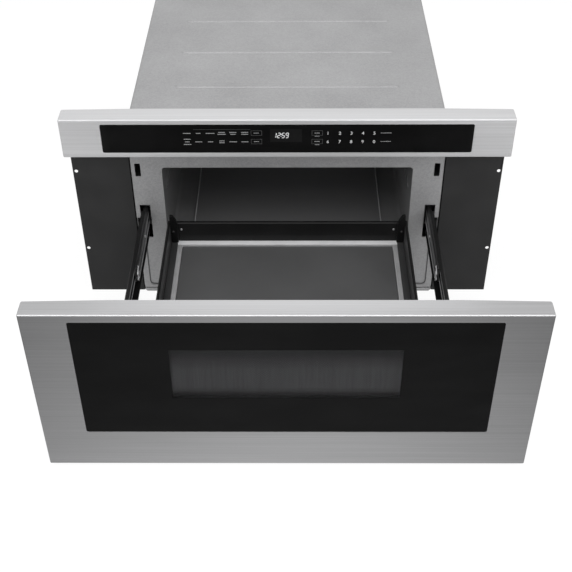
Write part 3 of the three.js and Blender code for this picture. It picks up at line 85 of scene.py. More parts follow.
def soft_lamp(name, place, aim, width, height, power):
    """A rectangular area lamp at place whose face looks at aim."""
    data = set_up(bpy.data.lights.new(name, "AREA"), shape="RECTANGLE", size=width, size_y=height, energy=power)
    back = unit(np.subtract(place, aim))
    side = unit(np.cross([0, 0, 1], back))
    put_at(place, name, data, side, np.cross(back, side), back)


soft_lamp("key_above_front", (0.0, -1.7, 2.8), (0, -0.3, 0.2), 4.6, 2.2, 64)
soft_lamp("fill_front", (0.0, -2.7, 0.8), (0, -0.3, 0.25), 3.6, 0.8, 31)
soft_lamp("back_high", (0.0, 1.6, 2.3), (0, -0.7, 0.3), 1.5, 0.9, 4.6)
soft_lamp("side_left", (-2.3, -0.8, 1.3), (0, -0.3, 0.2), 1.4, 1.4, 10)
soft_lamp("side_right", (2.3, -0.8, 1.3), (0, -0.3, 0.2), 1.4, 1.4, 10)


def node(tree, kind, links=(), **settings):
    """One node of this kind with its settings, and its inputs given as (input, source socket or value)."""
    made = set_up(tree.nodes.new(kind), **settings)
    for socket, source in links:
        if isinstance(source, bpy.types.NodeSocket):
            tree.links.new(source, made.inputs[socket])
        else:
            made.inputs[socket].default_value = source
    return made


def math_of(tree, operation, first, second, **settings):
    """The sum, product or other result of two numbers."""
    return node(tree, "ShaderNodeMath", [(0, first), (1, second)], operation=operation, **settings).outputs[0]


def spread(tree, factor, low, high, to_low=0.0, to_high=1.0):
    """factor stretched from low..high to to_low..to_high, and held inside them."""
    return node(tree, "ShaderNodeMapRange", [("Value", factor), ("From Min", low), ("From Max", high),
                                             ("To Min", to_low), ("To Max", to_high)]).outputs[0]


def object_space(tree):
    """The shaded point in Object coordinates."""
    return node(tree, "ShaderNodeTexCoord").outputs["Object"]


def seen_as_background(tree):
    """Light Path's camera, glossy and transmission rays added up: 1 where the surround itself is seen."""
    path = node(tree, "ShaderNodeLightPath").outputs
    first = math_of(tree, "ADD", path["Is Camera Ray"], path["Is Glossy Ray"], use_clamp=True)
    return math_of(tree, "ADD", first, path["Is Transmission Ray"], use_clamp=True)


def blend_to(tree, output, share, usual, seen):
    """Sends a mix of two shaders to the tree's output: the usual one and, by this share, the seen one."""
    mix = node(tree, "ShaderNodeMixShader", [(0, share), (1, usual.outputs[0]), (2, seen.outputs[0])])
    tree.links.new(mix.outputs[0], tree.nodes[output].inputs["Surface"])


world = bpy.data.worlds.new("white_surround")
world.use_nodes = True
bpy.context.scene.world = world
sky = world.node_tree
surround, shown = sky.nodes["Background"], node(sky, "ShaderNodeBackground")
for background, strength in ((surround, 0.5), (shown, 1.0)):
    background.inputs["Color"].default_value = (1, 1, 1, 1)
    background.inputs["Strength"].default_value = strength
blend_to(sky, "World Output", seen_as_background(sky), surround, shown)


def grey(level):
    """A neutral colour of this level."""
    return (level, level, level * 1.015, 1)


def feed(material, socket, result):
    """Links a result to the material's Principled shader."""
    material.node_tree.links.new(result, material.node_tree.nodes["Principled BSDF"].inputs[socket])


def new_material(name, group=None, **values):
    """A material, its shader fed by a node group where one is given. Each value goes to the group's input
    of that name, or else to the shader's; for a colour it is the level of a grey."""
    material = bpy.data.materials.new(name)
    material.use_nodes = True
    shader = material.node_tree.nodes["Principled BSDF"]
    placed = node(material.node_tree, "ShaderNodeGroup", node_tree=group) if group else shader
    for socket, value in values.items():
        spot = placed.inputs.get(socket) or shader.inputs[socket.replace("_", " ")]
        spot.default_value = grey(value) if spot.type == "RGBA" else value
    for result in placed.outputs if group else ():
        feed(material, {"Colour": "Base Color"}.get(result.name, result.name), result)
    return material


floor_reach, floor_level, drawer_middle = 9, -0.0006, (0, -0.35, 0)
floor_mesh = bpy.data.meshes.new("studio_floor")
floor_mesh.from_pydata([(floor_reach * x, floor_reach * y, floor_level)
                        for x, y in ((-1, -1), (1, -1), (1, 1), (-1, 1))], [], [(0, 1, 2, 3)])
studio_floor = bpy.data.objects.new("studio_floor", floor_mesh)
bpy.context.collection.objects.link(studio_floor)
floor_paper = new_material("floor_paper", Roughness=0.9, Specular_IOR_Level=0.1)
paper = floor_paper.node_tree
matt = paper.nodes["Principled BSDF"]
matt.inputs["Base Color"].default_value = (0.86, 0.86, 0.86, 1)
wide = node(paper, "ShaderNodeVectorMath", [(0, object_space(paper)), (1, (1.5, 1, 1))], operation="MULTIPLY")
away = node(paper, "ShaderNodeVectorMath", [(0, wide.outputs[0]), (1, drawer_middle)], operation="DISTANCE")
falling = spread(paper, away.outputs["Value"], 0.36, 1.1, 0.84, 0.12)
in_view = math_of(paper, "MULTIPLY", node(paper, "ShaderNodeLightPath").outputs["Is Camera Ray"], 1.05)
glow = node(paper, "ShaderNodeEmission", [("Strength", math_of(paper, "MAXIMUM", in_view, falling))])
blend_to(paper, "Material Output", math_of(paper, "MULTIPLY", seen_as_background(paper), 0.85), matt, glow)
floor_mesh.materials.append(floor_paper)

# ---------------------------------------------------------------------
# Galvanised sheet: front plate, casing, slide carriers, motor bracket and the backs of both fronts.
# Cold-rolled steel 1.2 mm thick, zinc coated, with a fine frosty spangle; folded, pierced and pressed.


def new_group(name, relief=True, **values):
    """A shader node group with named colour (tuple) or number inputs, outputs for the colour, the roughness
    and, with a relief, the normal, and the sockets of both inside it."""
    group = bpy.data.node_groups.new(name, "ShaderNodeTree")
    for socket, value in values.items():
        kind = "NodeSocketColor" if isinstance(value, tuple) else "NodeSocketFloat"
        group.interface.new_socket(name=socket, in_out="INPUT", socket_type=kind).default_value = value
    results = [("Colour", "NodeSocketColor"), ("Roughness", "NodeSocketFloat"), ("Normal", "NodeSocketVector")]
    for socket, kind in results[:3 if relief else 2]:
        group.interface.new_socket(name=socket, in_out="OUTPUT", socket_type=kind)
    return group, group.nodes.new("NodeGroupInput").outputs, group.nodes.new("NodeGroupOutput").inputs


def noise_of(tree, *stretch, detail=2.0, rough=0.5):
    """A noise in Object coordinates, its frequency in waves per metre: one number, or one for x, y and z."""
    waves = stretch * (3 // len(stretch))
    laid = node(tree, "ShaderNodeVectorMath", [(0, object_space(tree)), (1, waves)], operation="MULTIPLY")
    return node(tree, "ShaderNodeTexNoise", [("Vector", laid.outputs[0]), ("Scale", 1.0), ("Detail", detail),
                                             ("Roughness", rough)]).outputs["Fac"]


def mixed(tree, factor, dark, light):
    """The dark colour where factor is 0 and the light one where it is 1."""
    return node(tree, "ShaderNodeMix", [("Factor", factor), (6, dark), (7, light)], data_type="RGBA").outputs[2]


def fill_group(group, given, handed, tone, gloss, relief=None):
    """Links a group's results: its first two inputs mixed by tone, gloss added to its Rough, and a normal
    bent by a relief of (strength, depth in metres, height)."""
    group.links.new(mixed(group, tone, given[0], given[1]), handed["Colour"])
    group.links.new(math_of(group, "ADD", given["Rough"], gloss), handed["Roughness"])
    if relief:
        bump = node(group, "ShaderNodeBump", zip(("Strength", "Distance", "Height"), relief))
        group.links.new(bump.outputs[0], handed["Normal"])


spangle, given, handed = new_group("spangle", Dark=grey(0.2), Light=grey(0.4), Grain=420.0, Rough=0.45)
flakes = node(spangle, "ShaderNodeTexVoronoi", [("Vector", object_space(spangle)), ("Scale", given["Grain"])])
flake = node(spangle, "ShaderNodeSeparateColor", [(0, flakes.outputs["Color"])]).outputs[0]
frost = noise_of(spangle, 900, detail=3.0)
tone = math_of(spangle, "ADD", math_of(spangle, "MULTIPLY", flake, 0.6),
               math_of(spangle, "ADD", frost, noise_of(spangle, 9)))
fill_group(spangle, given, handed, spread(spangle, tone, 0.7, 1.9), spread(spangle, flake, 0, 1, -0.06, 0.08),
           (0.1, 0.0002, frost))


def wear(material, *names):
    """Puts a material on CAD nodes that are shown as they are."""
    for name in names:
        nodes[name].data.materials.clear()
        nodes[name].data.materials.append(material)


def add_piece(name, mesh, material, body, replaced=(), edge=0.0, angle=35):
    """Links a mesh as a piece: one material, soft shading below the angle, and edges above it rounded off."""
    mesh.materials.clear()
    mesh.materials.append(material)
    mesh.polygons.foreach_set("use_smooth", np.ones(len(mesh.polygons), bool))
    mesh.set_sharp_from_angle(angle=math.radians(angle))
    piece = bpy.data.objects.new(name, mesh)
    bpy.context.collection.objects.link(piece)
    if edge:
        set_up(piece.modifiers.new("eased_edges", "BEVEL"), width=edge * 0.001, segments=2,
               limit_method="ANGLE", angle_limit=math.radians(angle))
        piece.modifiers.new("flat_faces", "WEIGHTED_NORMAL").keep_sharp = True
    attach(piece, body)
    if replaced:
        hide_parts(*replaced)


def eased(name, edge, material, body):
    """A CAD node's form as one merged mesh, its sharp edges rounded off by this many millimetres."""
    mesh = nodes[name].data.copy()
    work = bmesh.new()
    work.from_mesh(mesh)
    bmesh.ops.remove_doubles(work, verts=work.verts, dist=2e-6)
    bmesh.ops.dissolve_limit(work, angle_limit=math.radians(1.0), verts=work.verts, edges=work.edges)
    work.to_mesh(mesh)
    work.free()
    add_piece(name + "_eased", mesh, material, body, (name,), edge)


zinc = new_material("galvanised_sheet", spangle, Metallic=0.4, Dark=0.26, Light=0.38, Rough=0.45)
for name in ("front_plate", "outer_cover", "back_panel", "base_pan"):
    eased(name, 0.3, zinc, "chassis")
eased("drawer_inner_panel", 0.3, zinc, "drawer")
eased("fascia_back_cover", 0.3, zinc, "chassis")
wear(zinc, "slide_carrier_left", "slide_carrier_right", "drive_bracket")

# ---------------------------------------------------------------------
# Black powder coat: mounting wings and drawer box. Folded steel under a dull, finely pebbled coat
# that scatters the light; the wings are screwed to the cabinet through the holes at their edges.

powder, given, handed = new_group("powder_coat", Tone=grey(0.03), Worn=grey(0.05), Rough=0.55, Pebble=1600.0,
                                  Depth=0.15)
pebbles = node(powder, "ShaderNodeTexNoise", [("Vector", object_space(powder)), ("Scale", given["Pebble"]),
                                              ("Detail", 2.0)])
drift = noise_of(powder, 14, detail=3.0)
fill_group(powder, given, handed, spread(powder, drift, 0.35, 0.7),
           spread(powder, drift, 0.3, 0.7, -0.05, 0.05), (given["Depth"], 0.0002, pebbles.outputs["Fac"]))

fine_pebble = {"Pebble": 2400.0, "Depth": 0.08}
black_coat = new_material("black_powder_coat", powder, Specular_IOR_Level=0.25, Tone=0.017, Worn=0.023,
                          Rough=0.6)
box_coat = new_material("drawer_box_coat", powder, Specular_IOR_Level=0.2, Tone=0.006, Worn=0.009, Rough=0.42,
                        **fine_pebble)
for name in ("wing_left", "wing_right"):
    eased(name, 0.3, black_coat, "chassis")
eased("drawer_box", 0.6, box_coat, "drawer")
eased("choke_frame", 0.4, box_coat, "drawer")

# ---------------------------------------------------------------------
# Oven cavity: a welded box of painted sheet with a pressed bead along each side, a pierced patch for
# the lamp and a ceramic floor plate laid over the antenna well.

oven_paint = new_material("oven_paint", powder, Specular_IOR_Level=0.5, Tone=0.17, Worn=0.21, Rough=0.36,
                          Pebble=900.0, Depth=0.1)
eased("oven_cavity", 0.4, oven_paint, "chassis")
glaze, given, handed = new_group("speckled_glaze", relief=False, Ground=grey(0.1), Speck=grey(0.2), Rough=0.25)
specks = node(glaze, "ShaderNodeTexVoronoi", [("Vector", object_space(glaze)), ("Scale", 700.0)])
fill_group(glaze, given, handed, spread(glaze, specks.outputs["Distance"], 0.12, 0.3, 1.0, 0.0),
           spread(glaze, noise_of(glaze, 20), 0.3, 0.7, -0.04, 0.06))
floor_ceramic = new_material("floor_ceramic", glaze, Ground=0.15, Speck=0.17, Rough=0.36)
eased("cavity_floor_plate", 0.8, floor_ceramic, "chassis")

# ---------------------------------------------------------------------
# Fascia and drawer front skins: brushed stainless steel 1.2 mm thick, folded back on all four sides
# over a 2.2 mm bend, with a cut-out for the glass and the rear corners of the returns cut off.


def box_mm(name):
    """The low and the high corner of a CAD node's box, in millimetres."""
    return [np.array(corner) * 1000 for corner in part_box(name)]


def lay_mesh(name, points, faces):
    """A mesh from points (..., 3) in millimetres and rows of equally long faces, written as whole arrays."""
    mesh = bpy.data.meshes.new(name)
    faces = np.asarray(faces, np.int32)
    points = np.asarray(points, np.float32).reshape(-1, 3) * 0.001
    mesh.vertices.add(len(points))
    mesh.vertices.foreach_set("co", points.ravel())
    mesh.loops.add(faces.size)
    mesh.loops.foreach_set("vertex_index", faces.ravel())
    mesh.polygons.add(len(faces))
    mesh.polygons.foreach_set("loop_start", np.arange(len(faces), dtype=np.int32) * faces.shape[1])
    mesh.update(calc_edges=True)
    return mesh


def grid_faces(rows, columns, closed=False):
    """Quads of a grid whose point (i, j) is number i * columns + j. Each row closes on itself, and where
    the grid is closed the last row joins the first."""
    i, j = np.meshgrid(np.arange(rows - 1 + closed), np.arange(columns), indexing="ij")
    low, high, far = i * columns, (i + 1) % rows * columns, (j + 1) % columns
    return np.stack([low + j, low + far, high + far, high + j], -1).reshape(-1, 4)


def turned_outwards(mesh):
    """The same mesh with coinciding points joined and every face turned outwards."""
    work = bmesh.new()
    work.from_mesh(mesh)
    bmesh.ops.remove_doubles(work, verts=work.verts, dist=5e-7)
    bmesh.ops.recalc_face_normals(work, faces=work.faces)
    work.to_mesh(mesh)
    work.free()
    return mesh


def ring_mesh(name, rings, ends=None):
    """A closed surface through rings of equally many points: the last ring joins the first, or else the
    first and the last close on the two end points."""
    rings = np.stack(rings)
    if ends is not None:
        first, last = (np.broadcast_to(end, rings[:1].shape) for end in ends)
        rings = np.concatenate([first, rings, last])
    return turned_outwards(lay_mesh(name, rings, grid_faces(*rings.shape[:2], closed=ends is None)))


def loop_of(half_width, low, high, radius, steps=6, side_points=5):
    """A rounded rectangle as a closed loop (n, 2): four straight sides, each followed by a quarter circle."""
    middle = (low + high) / 2
    reach = np.array([half_width - radius, (high - low) / 2 - radius])
    centres = np.array([[1, -1], [1, 1], [-1, 1], [-1, -1]]) * reach
    angles = np.linspace(0, np.pi / 2, steps)[None, :] + np.array([-1, 0, 1, 2])[:, None] * np.pi / 2
    arcs = centres[:, None] + radius * np.stack([np.cos(angles), np.sin(angles)], -1)
    ahead = np.roll(arcs, -1, axis=0)[:, :1]
    share = np.linspace(0, 1, side_points + 2)[1:-1][None, :, None]
    sides = arcs[:, -1:] * (1 - share) + ahead * share
    return np.concatenate([arcs, sides], 1).reshape(-1, 2) + [0, middle]


def at_depth(flat, depth):
    """Points (..., 3) from their x and z (..., 2), with this depth as y."""
    return np.stack([flat[..., 0], np.broadcast_to(depth, flat.shape[:-1]), flat[..., 1]], -1)


def folded_front(name, replaced, glass, material, body):
    """A skin as one closed ring of loops: from the cut-out's edge over the face, round the bend (inset
    r(1 - sin a), depth r(1 - cos a)), back along the return, and the same way inside at sheet distance."""
    low, high = box_mm(replaced)
    pane_low, pane_high = box_mm(glass)
    half, face, back = high[0], low[1], high[1]
    sheet, bend, gap, corner, cut = 1.2, 2.2, 0.4, 3, 5.3

    def outer(inset, depth):
        return at_depth(loop_of(half - inset, low[2] + inset, high[2] - inset, max(bend - inset, 0.35)), depth)

    def opening(grow, depth):
        return at_depth(loop_of(pane_high[0] + gap + grow, pane_low[2] - gap - grow, pane_high[2] + gap + grow,
                                corner + grow), depth)

    turn = np.linspace(0, np.pi / 2, 7)
    rings = [opening(0, face + sheet), opening(0, face + 0.3), opening(0.1, face + 0.08), opening(0.35, face)]
    rings += [opening(1.2, face), outer(bend + 1, face)]
    rings += [outer(bend * (1 - np.sin(a)), face + bend * (1 - np.cos(a))) for a in turn]
    for inset in (0, sheet):
        end = outer(inset, 0.0)
        end[:, 1] = back - np.maximum(0, np.abs(end[:, 0]) - (half - cut))
        rings.append(end)
    inner = bend - sheet
    rings += [outer(bend - inner * np.sin(a), face + bend - inner * np.cos(a)) for a in turn[::-1]]
    add_piece(name, ring_mesh(name, rings), material, body, (replaced,), angle=40)


brushed, given, handed = new_group("brushed_grain", Dark=grey(0.3), Light=grey(0.4), Rough=0.34, Depth=0.2)
hair = noise_of(brushed, 7, 2600, 2600)
streak = noise_of(brushed, 2.5, 420, 420, detail=3.0)
both = math_of(brushed, "ADD", math_of(brushed, "ADD", hair, streak),
               math_of(brushed, "MULTIPLY", noise_of(brushed, 1.5, 12, 12), 0.5))
fill_group(brushed, given, handed, spread(brushed, both, 0.95, 1.55),
           spread(brushed, both, 0.9, 1.6, -0.05, 0.07), (given["Depth"], 0.0001, hair))
fascia_steel = new_material("fascia_stainless", brushed, Metallic=0.4, Anisotropic=0.3, Dark=0.47, Light=0.57,
                            Rough=0.46)
front_steel = new_material("drawer_stainless", brushed, Metallic=1.0, Anisotropic=0.3, Dark=0.38, Light=0.46,
                           Rough=0.36)
folded_front("fascia_folded_skin", "fascia_skin", "control_glass", fascia_steel, "chassis")
folded_front("drawer_folded_skin", "drawer_front_skin", "door_glass", front_steel, "drawer")

# ---------------------------------------------------------------------
# Glass: the control pane and the drawer's pane are toughened glass 4 mm thick, printed black behind.
# The drawer's pane stays clear and dark over the window, where the screen shows through it.

thick, corner, rounding = 4, 3, 0.35


def rounded_rim(edge, depth):
    """The insets and depths of a plate's loops, from inside its face, over a rounded rim (inset
    e(1 - sin a), depth e(1 - cos a)), to the same loops of its back."""
    turn = np.linspace(0, np.pi / 2, 4)
    inset = np.concatenate([[3 * edge], edge * (1 - np.sin(turn))])
    level = np.concatenate([[0], edge * (1 - np.cos(turn))])
    return np.concatenate([inset, inset[::-1]]), np.concatenate([level, depth - level[::-1]])


def pane_of(name, half_width, low, high, front, depth, radius, edge, steps=6, flare=0.0):
    """A closed plate with a rounded rim, whose back is wider than its face by the flare."""
    inset, level = rounded_rim(edge, depth)
    inset[len(inset) // 2:] -= flare
    rings = [at_depth(loop_of(half_width - i, low + i, high - i, radius - i, steps), front + y)
             for i, y in zip(inset, level)]
    return ring_mesh(name, rings, [(0, y, (low + high) / 2) for y in (front, front + depth)])


smudge, given, handed = new_group("wiped_glass", relief=False, Tone=grey(0.006), Dust=grey(0.009), Rough=0.06)
wipe = noise_of(smudge, 9, 9, 26, detail=4.0)
fill_group(smudge, given, handed, spread(smudge, wipe, 0.4, 0.75), spread(smudge, wipe, 0.35, 0.75, 0, 0.05))
panel_glass = new_material("panel_black_glass", smudge, Specular_IOR_Level=0.1, Tone=0.0045, Dust=0.006,
                           Rough=0.07)
pane_low, pane_high = box_mm("control_glass")
control_pane = pane_of("control_pane", pane_high[0], pane_low[2], pane_high[2], pane_low[1], thick, corner,
                       rounding)
add_piece("control_pane", control_pane, panel_glass, "chassis", ("control_glass",))

door_low, door_high = box_mm("door_glass")
sill_height, head_height = 76.6, 53.0
window_half, window_low, window_high = 171.0, door_low[2] + sill_height, door_high[2] - head_height
rings = [at_depth(loop_of(window_half + grow, window_low - grow, window_high + grow, 1.2 + grow),
                  door_low[1] + y)
         for grow, y in ((3.6, thick), (3, thick), (0, 0.1), (0.1, 0), (0.6, 0))]
rings += [at_depth(loop_of(door_high[0] - i, door_low[2] + i, door_high[2] - i, corner - i), door_low[1] + y)
          for i, y in zip(*rounded_rim(rounding, thick))]
door_black = new_material("door_black_glass", smudge, Specular_IOR_Level=0.06, Tone=0.0035, Dust=0.005,
                          Rough=0.07)
add_piece("door_pane_border", ring_mesh("door_pane_border", rings), door_black, "drawer",
          ("door_glass",))


def clear_glass(name, tint, bending):
    """Glass that lets light through, a little duller in slow patches."""
    glass = new_material(name, Base_Color=tint, Transmission_Weight=1.0, IOR=bending)
    feed(glass, "Roughness", spread(glass.node_tree, noise_of(glass.node_tree, 30), 0.3, 0.7, 0.0, 0.03))
    return glass


window_pane = pane_of("door_window_pane", window_half - 0.05, window_low + 0.05, window_high - 0.05,
                      door_low[1] + 0.05, thick - 0.1, 1.15, 0.1, 4, flare=2.9)
dark_glass = clear_glass("window_dark_glass", 0.55, 1.15)
add_piece("door_window_pane", window_pane, dark_glass, "drawer")

# ---------------------------------------------------------------------
# Window screen: black painted steel sheet with 1.4 mm holes, 2.2 mm apart in staggered rows, spot-welded
# behind the glass. It keeps the microwaves in and lets the inside be seen. Its coat carries painted shade:
# darker towards the top of the window, and a dark band along the sill.


def copied_faces(faces, size, count):
    """The faces of count copies of a shape that has this many points."""
    return (faces + size * np.arange(count)[:, None, None]).reshape(-1, 4)


pitch, hole, screen_depth = 2.2, 0.72, 0.5
row_pitch = pitch * 0.866
screen_y = box_mm("window_screen")[1][1] - 0.9
columns = int(2 * (window_half + 1) // pitch)
rows = int((window_high - window_low + 2) // row_pitch)
i, j = np.meshgrid(np.arange(rows), np.arange(columns), indexing="ij")
middles = np.stack([(j + 0.5 * (i % 2) - (columns - 0.5) / 2) * pitch,
                    (window_low + window_high) / 2 + (i - (rows - 1) / 2) * row_pitch], -1).reshape(-1, 1, 2)
spoke = np.arange(6) * np.pi / 3 + np.pi / 6
spokes = np.stack([np.cos(spoke), np.sin(spoke)], -1)
cell = np.concatenate([spokes * pitch / math.sqrt(3), spokes * hole, spokes * hole])
points = at_depth(middles + cell, screen_y + np.repeat([0, 0, screen_depth], 6))
screen_mesh = lay_mesh("pierced_field", points, copied_faces(grid_faces(3, 6), len(cell), len(middles)))
screen_coat_painted_shade = new_material("screen_coat_painted_shade", Specular_IOR_Level=0.4)
tree = screen_coat_painted_shade.node_tree
height = node(tree, "ShaderNodeSeparateXYZ", [(0, object_space(tree))]).outputs[2]
drawn = noise_of(tree, 420, 1, 9, detail=1.0)
# Painted shade: the coat darkens towards the top of the window, as in the shade of the pane's black border, and
# a dark band runs along the sill.
top_shade_painted = math_of(tree, "ADD", spread(tree, height, 0.208, 0.24), spread(tree, drawn, 0.3, 0.7, -0.07, 0.07))
sill_shade_painted = spread(tree, height, window_low * 0.001 + 0.001, window_low * 0.001 + 0.008)
painted_shade_tone = mixed(tree, sill_shade_painted, grey(0.04), mixed(tree, top_shade_painted, grey(0.121), grey(0.025)))
feed(screen_coat_painted_shade, "Base Color", mixed(tree, spread(tree, drawn, 0.36, 0.62, 0.0, 0.15), painted_shade_tone, grey(0.04)))
feed(screen_coat_painted_shade, "Roughness", spread(tree, drawn, 0.3, 0.7, 0.42, 0.56))
add_piece("pierced_field", screen_mesh, screen_coat_painted_shade, "drawer")
rings = [at_depth(loop_of(window_half + grow * 3, window_low - grow * 3, window_high + grow, 3), screen_y + y)
         for grow, y in ((0.2, -3.2), (0.4, 0.1), (4, -4.2), (4, -5.0))]
add_piece("pierced_rim", ring_mesh("pierced_rim", rings), screen_coat_painted_shade, "drawer",
          ("window_screen",))
wear(clear_glass("inner_pane_glass", 0.9, 1.3), "inner_window")

# ---------------------------------------------------------------------
# Control marks: fine light print behind the glass. Plain bars stand for the words of the keys, the
# number keys are numbered, two pairs of keys are boxed, and the clock shows lit segment digits.

mark_face = pane_low[1] - 0.04


def flat_marks(name, quads, material, face=mark_face):
    """Four-cornered marks (n, 4, 2) in x and z, laid just in front of the pane as one mesh."""
    mesh = lay_mesh(name, at_depth(quads, face), np.arange(len(quads) * 4).reshape(-1, 4))
    add_piece(name, mesh, material, "chassis")


def bars(rows):
    """Upright rectangles (n, 4, 2) from rows of left, low, right, high."""
    return np.asarray(rows, float)[:, [[0, 1], [2, 1], [2, 3], [0, 3]]]


def word_bars(centre_x, centre_z, lengths, height=1.25):
    """One bar a line, split into short runs a letter gap apart, the lines centred over each other."""
    rows = []
    leading, letters, gap = 5.1 if len(lengths) == 3 else 3.6, 3.1, 0.35
    for line, length in enumerate(lengths):
        z = centre_z - (line - (len(lengths) - 1) / 2) * leading
        edges = centre_x + np.linspace(-length / 2, length / 2, max(2, round(length / letters)) + 1)
        rows += [[a, z - height / 2, b - gap, z + height / 2] for a, b in zip(edges[:-1], edges[1:])]
    return rows


def box_bars(centre_x, centre_z):
    """The four sides of an outlined key."""
    left, right, low, high, line = centre_x - 9.1, centre_x + 9.1, centre_z - 4.7, centre_z + 4.7, 0.42
    return [[left, low, right, low + line], [left, high - line, right, high],
            [left, low + line, left + line, high - line], [right - line, low + line, right, high - line]]


upper, lower = pane_low[2] + 38.0, pane_low[2] + 21.5
print_rows, outline_rows = [], [[-156, pane_low[2] + 45.3, -61, pane_low[2] + 45.65]]
for row, words in ((upper, ((13,), (8,), (15,), (11, 14), (12, 9), (12, 12))),
                   (lower, ((12, 8, 13), (12,), (9,), (9, 9), (13,), (12,)))):
    for x, lengths in zip((-166.8, -147.7, -127.9, -108.8, -89.9, -70.2), words):
        print_rows += word_bars(x, row, lengths)
    z = row + 0.4
    outline_rows += box_bars(-50.9, z) + box_bars(50.7, z)
    print_rows += word_bars(-50.9, z, (9,), 1.1) + word_bars(50.7, z, (9,), 1.1)
    print_rows += word_bars(50.7, z - 6.2, (8,), 0.9) + word_bars(165.6, z, (18,), 0.9)


def print_ink(name, thin, full):
    """Screen print: a dull ink whose cover varies between a thin and a full tone."""
    ink = new_material(name, Specular_IOR_Level=0.1, Roughness=0.6)
    cover = spread(ink.node_tree, noise_of(ink.node_tree, 1500), 0.3, 0.7)
    feed(ink, "Base Color", mixed(ink.node_tree, cover, grey(thin), grey(full)))
    return ink


flat_marks("key_marks", bars(print_rows), print_ink("key_print", 0.24, 0.36))
flat_marks("key_outlines", bars(outline_rows), print_ink("outline_print", 0.07, 0.1))

digit_points, digit_faces, start = [], [], 0
for z, row in ((upper, "12345"), (lower, "67890")):
    for x, character in zip((68.5, 88.5, 107.6, 126.8, 145.9), row):
        curve = set_up(bpy.data.curves.new("digit", "FONT"), body=character, size=8.4, align_x="CENTER",
                       resolution_u=3)
        holder = bpy.data.objects.new("digit", curve)
        flat = bpy.data.meshes.new_from_object(holder)
        place = np.empty(len(flat.vertices) * 3, np.float32)
        flat.vertices.foreach_get("co", place)
        place = place.reshape(-1, 3)[:, :2]
        digit_points.append(at_depth(place - (place.min(0) + place.max(0)) / 2 + (x, z), mark_face))
        digit_faces += [[start + v for v in face.vertices] for face in flat.polygons]
        start += len(place)
        bpy.data.objects.remove(holder)
        bpy.data.curves.remove(curve)
        bpy.data.meshes.remove(flat)
number_mesh = bpy.data.meshes.new("key_numbers")
number_mesh.from_pydata((np.concatenate(digit_points) * 0.001).tolist(), [], digit_faces)
add_piece("key_numbers", number_mesh, print_ink("number_print", 0.55, 0.7), "chassis")

segments_lit = {"1": "bc", "2": "abged", "5": "afgcd", "9": "abcdfg"}
segment_ends = {"a": ((0, 1), (1, 1)), "b": ((1, 1), (1, 0.5)), "c": ((1, 0.5), (1, 0)), "d": ((0, 0), (1, 0)),
                "e": ((0, 0.5), (0, 0)), "f": ((0, 1), (0, 0.5)), "g": ((0, 0.5), (1, 0.5))}
clock_low, digit_size, stroke, slant, dot = pane_low[2] + 29.2, np.array([4.0, 9.3]), 1.15, 0.13, (0.6, 0.7)
across_cut, upright_cut = (-0.5, stroke / 2), (stroke / 2, -0.45)
lit = []
for left, character in ((-22.6, "1"), (-15.9, "2"), (-8.7, "5"), (-2.2, "9")):
    for letter in segments_lit[character]:
        ends = np.array(segment_ends[letter])
        grown = across_cut if ends[0, 1] == ends[1, 1] else upright_cut
        low, high = (choose(ends, axis=0) * digit_size + (left, clock_low) for choose in (np.min, np.max))
        lit.append([*(low - grown), *(high + grown)])
for share in (0.3, 0.7):
    middle = np.array([-10.1, clock_low + share * digit_size[1]])
    lit.append([*(middle - dot), *(middle + dot)])
lit = bars(lit)
lit[..., 0] += slant * (lit[..., 1] - clock_low)
clock_light = new_material("clock_light", Base_Color=0.02, Emission_Strength=1.0)
flicker = spread(clock_light.node_tree, noise_of(clock_light.node_tree, 900), 0.2, 0.8)
feed(clock_light, "Emission Color", mixed(clock_light.node_tree, flicker, grey(0.78), grey(0.92)))
flat_marks("clock_digits", lit, clock_light)
smoked = new_material("display_window_film", smudge, Specular_IOR_Level=0.1, Tone=0.0085, Dust=0.0105,
                      Rough=0.12)
flat_marks("display_window", bars([[-28, pane_low[2] + 21, 25, pane_low[2] + 46]]), smoked,
           mark_face + 0.02)

# ---------------------------------------------------------------------
# Front plate trim: the line pressed round its lower corners, coloured dark as painted shade; the black foam
# strips that close the gaps to the wings and the base pan, their black standing also for the shade in those
# gaps; and the pan's front lip.


def half_round(width, height):
    """A closed profile (out, across): an arc height * sin t over width / 2 * cos t, on a sunken flat base."""
    t = np.linspace(0, np.pi, 7)
    arc = np.stack([height * np.sin(t), width / 2 * np.cos(t)], -1)
    return np.concatenate([arc, [[-0.15, -width / 2], [-0.15, width / 2]]])


def swept_bead(name, path, outward, profile, material, body, closed=False, swell=None):
    """Carries a closed profile along a flat path: point = path + out * outward + across * side, where side
    is the way along the path crossed with outward. swell scales the profile at each point of the path, and
    an open bead is closed by a flat fan at each end."""
    path, outward, profile = (np.asarray(values, float) for values in (path, outward, profile))
    way = np.roll(path, -1, axis=0) - np.roll(path, 1, axis=0)
    if not closed:
        way[0], way[-1] = path[1] - path[0], path[-1] - path[-2]
    across = unit(np.cross(way, outward))
    size = np.ones(len(path)) if swell is None else swell
    shape = profile[None] * size[:, None, None]
    rings = path[:, None] + shape[..., :1] * outward + shape[..., 1:] * across[:, None]
    add_piece(name, ring_mesh(name, rings, None if closed else path[[0, -1]]), material, body)


def rounded_bar(width, height, radius):
    """A closed profile (out, across): a rectangle with rounded corners whose base lies at out 0."""
    return loop_of(width / 2, 0, height, radius, 4, 1)[:, ::-1]


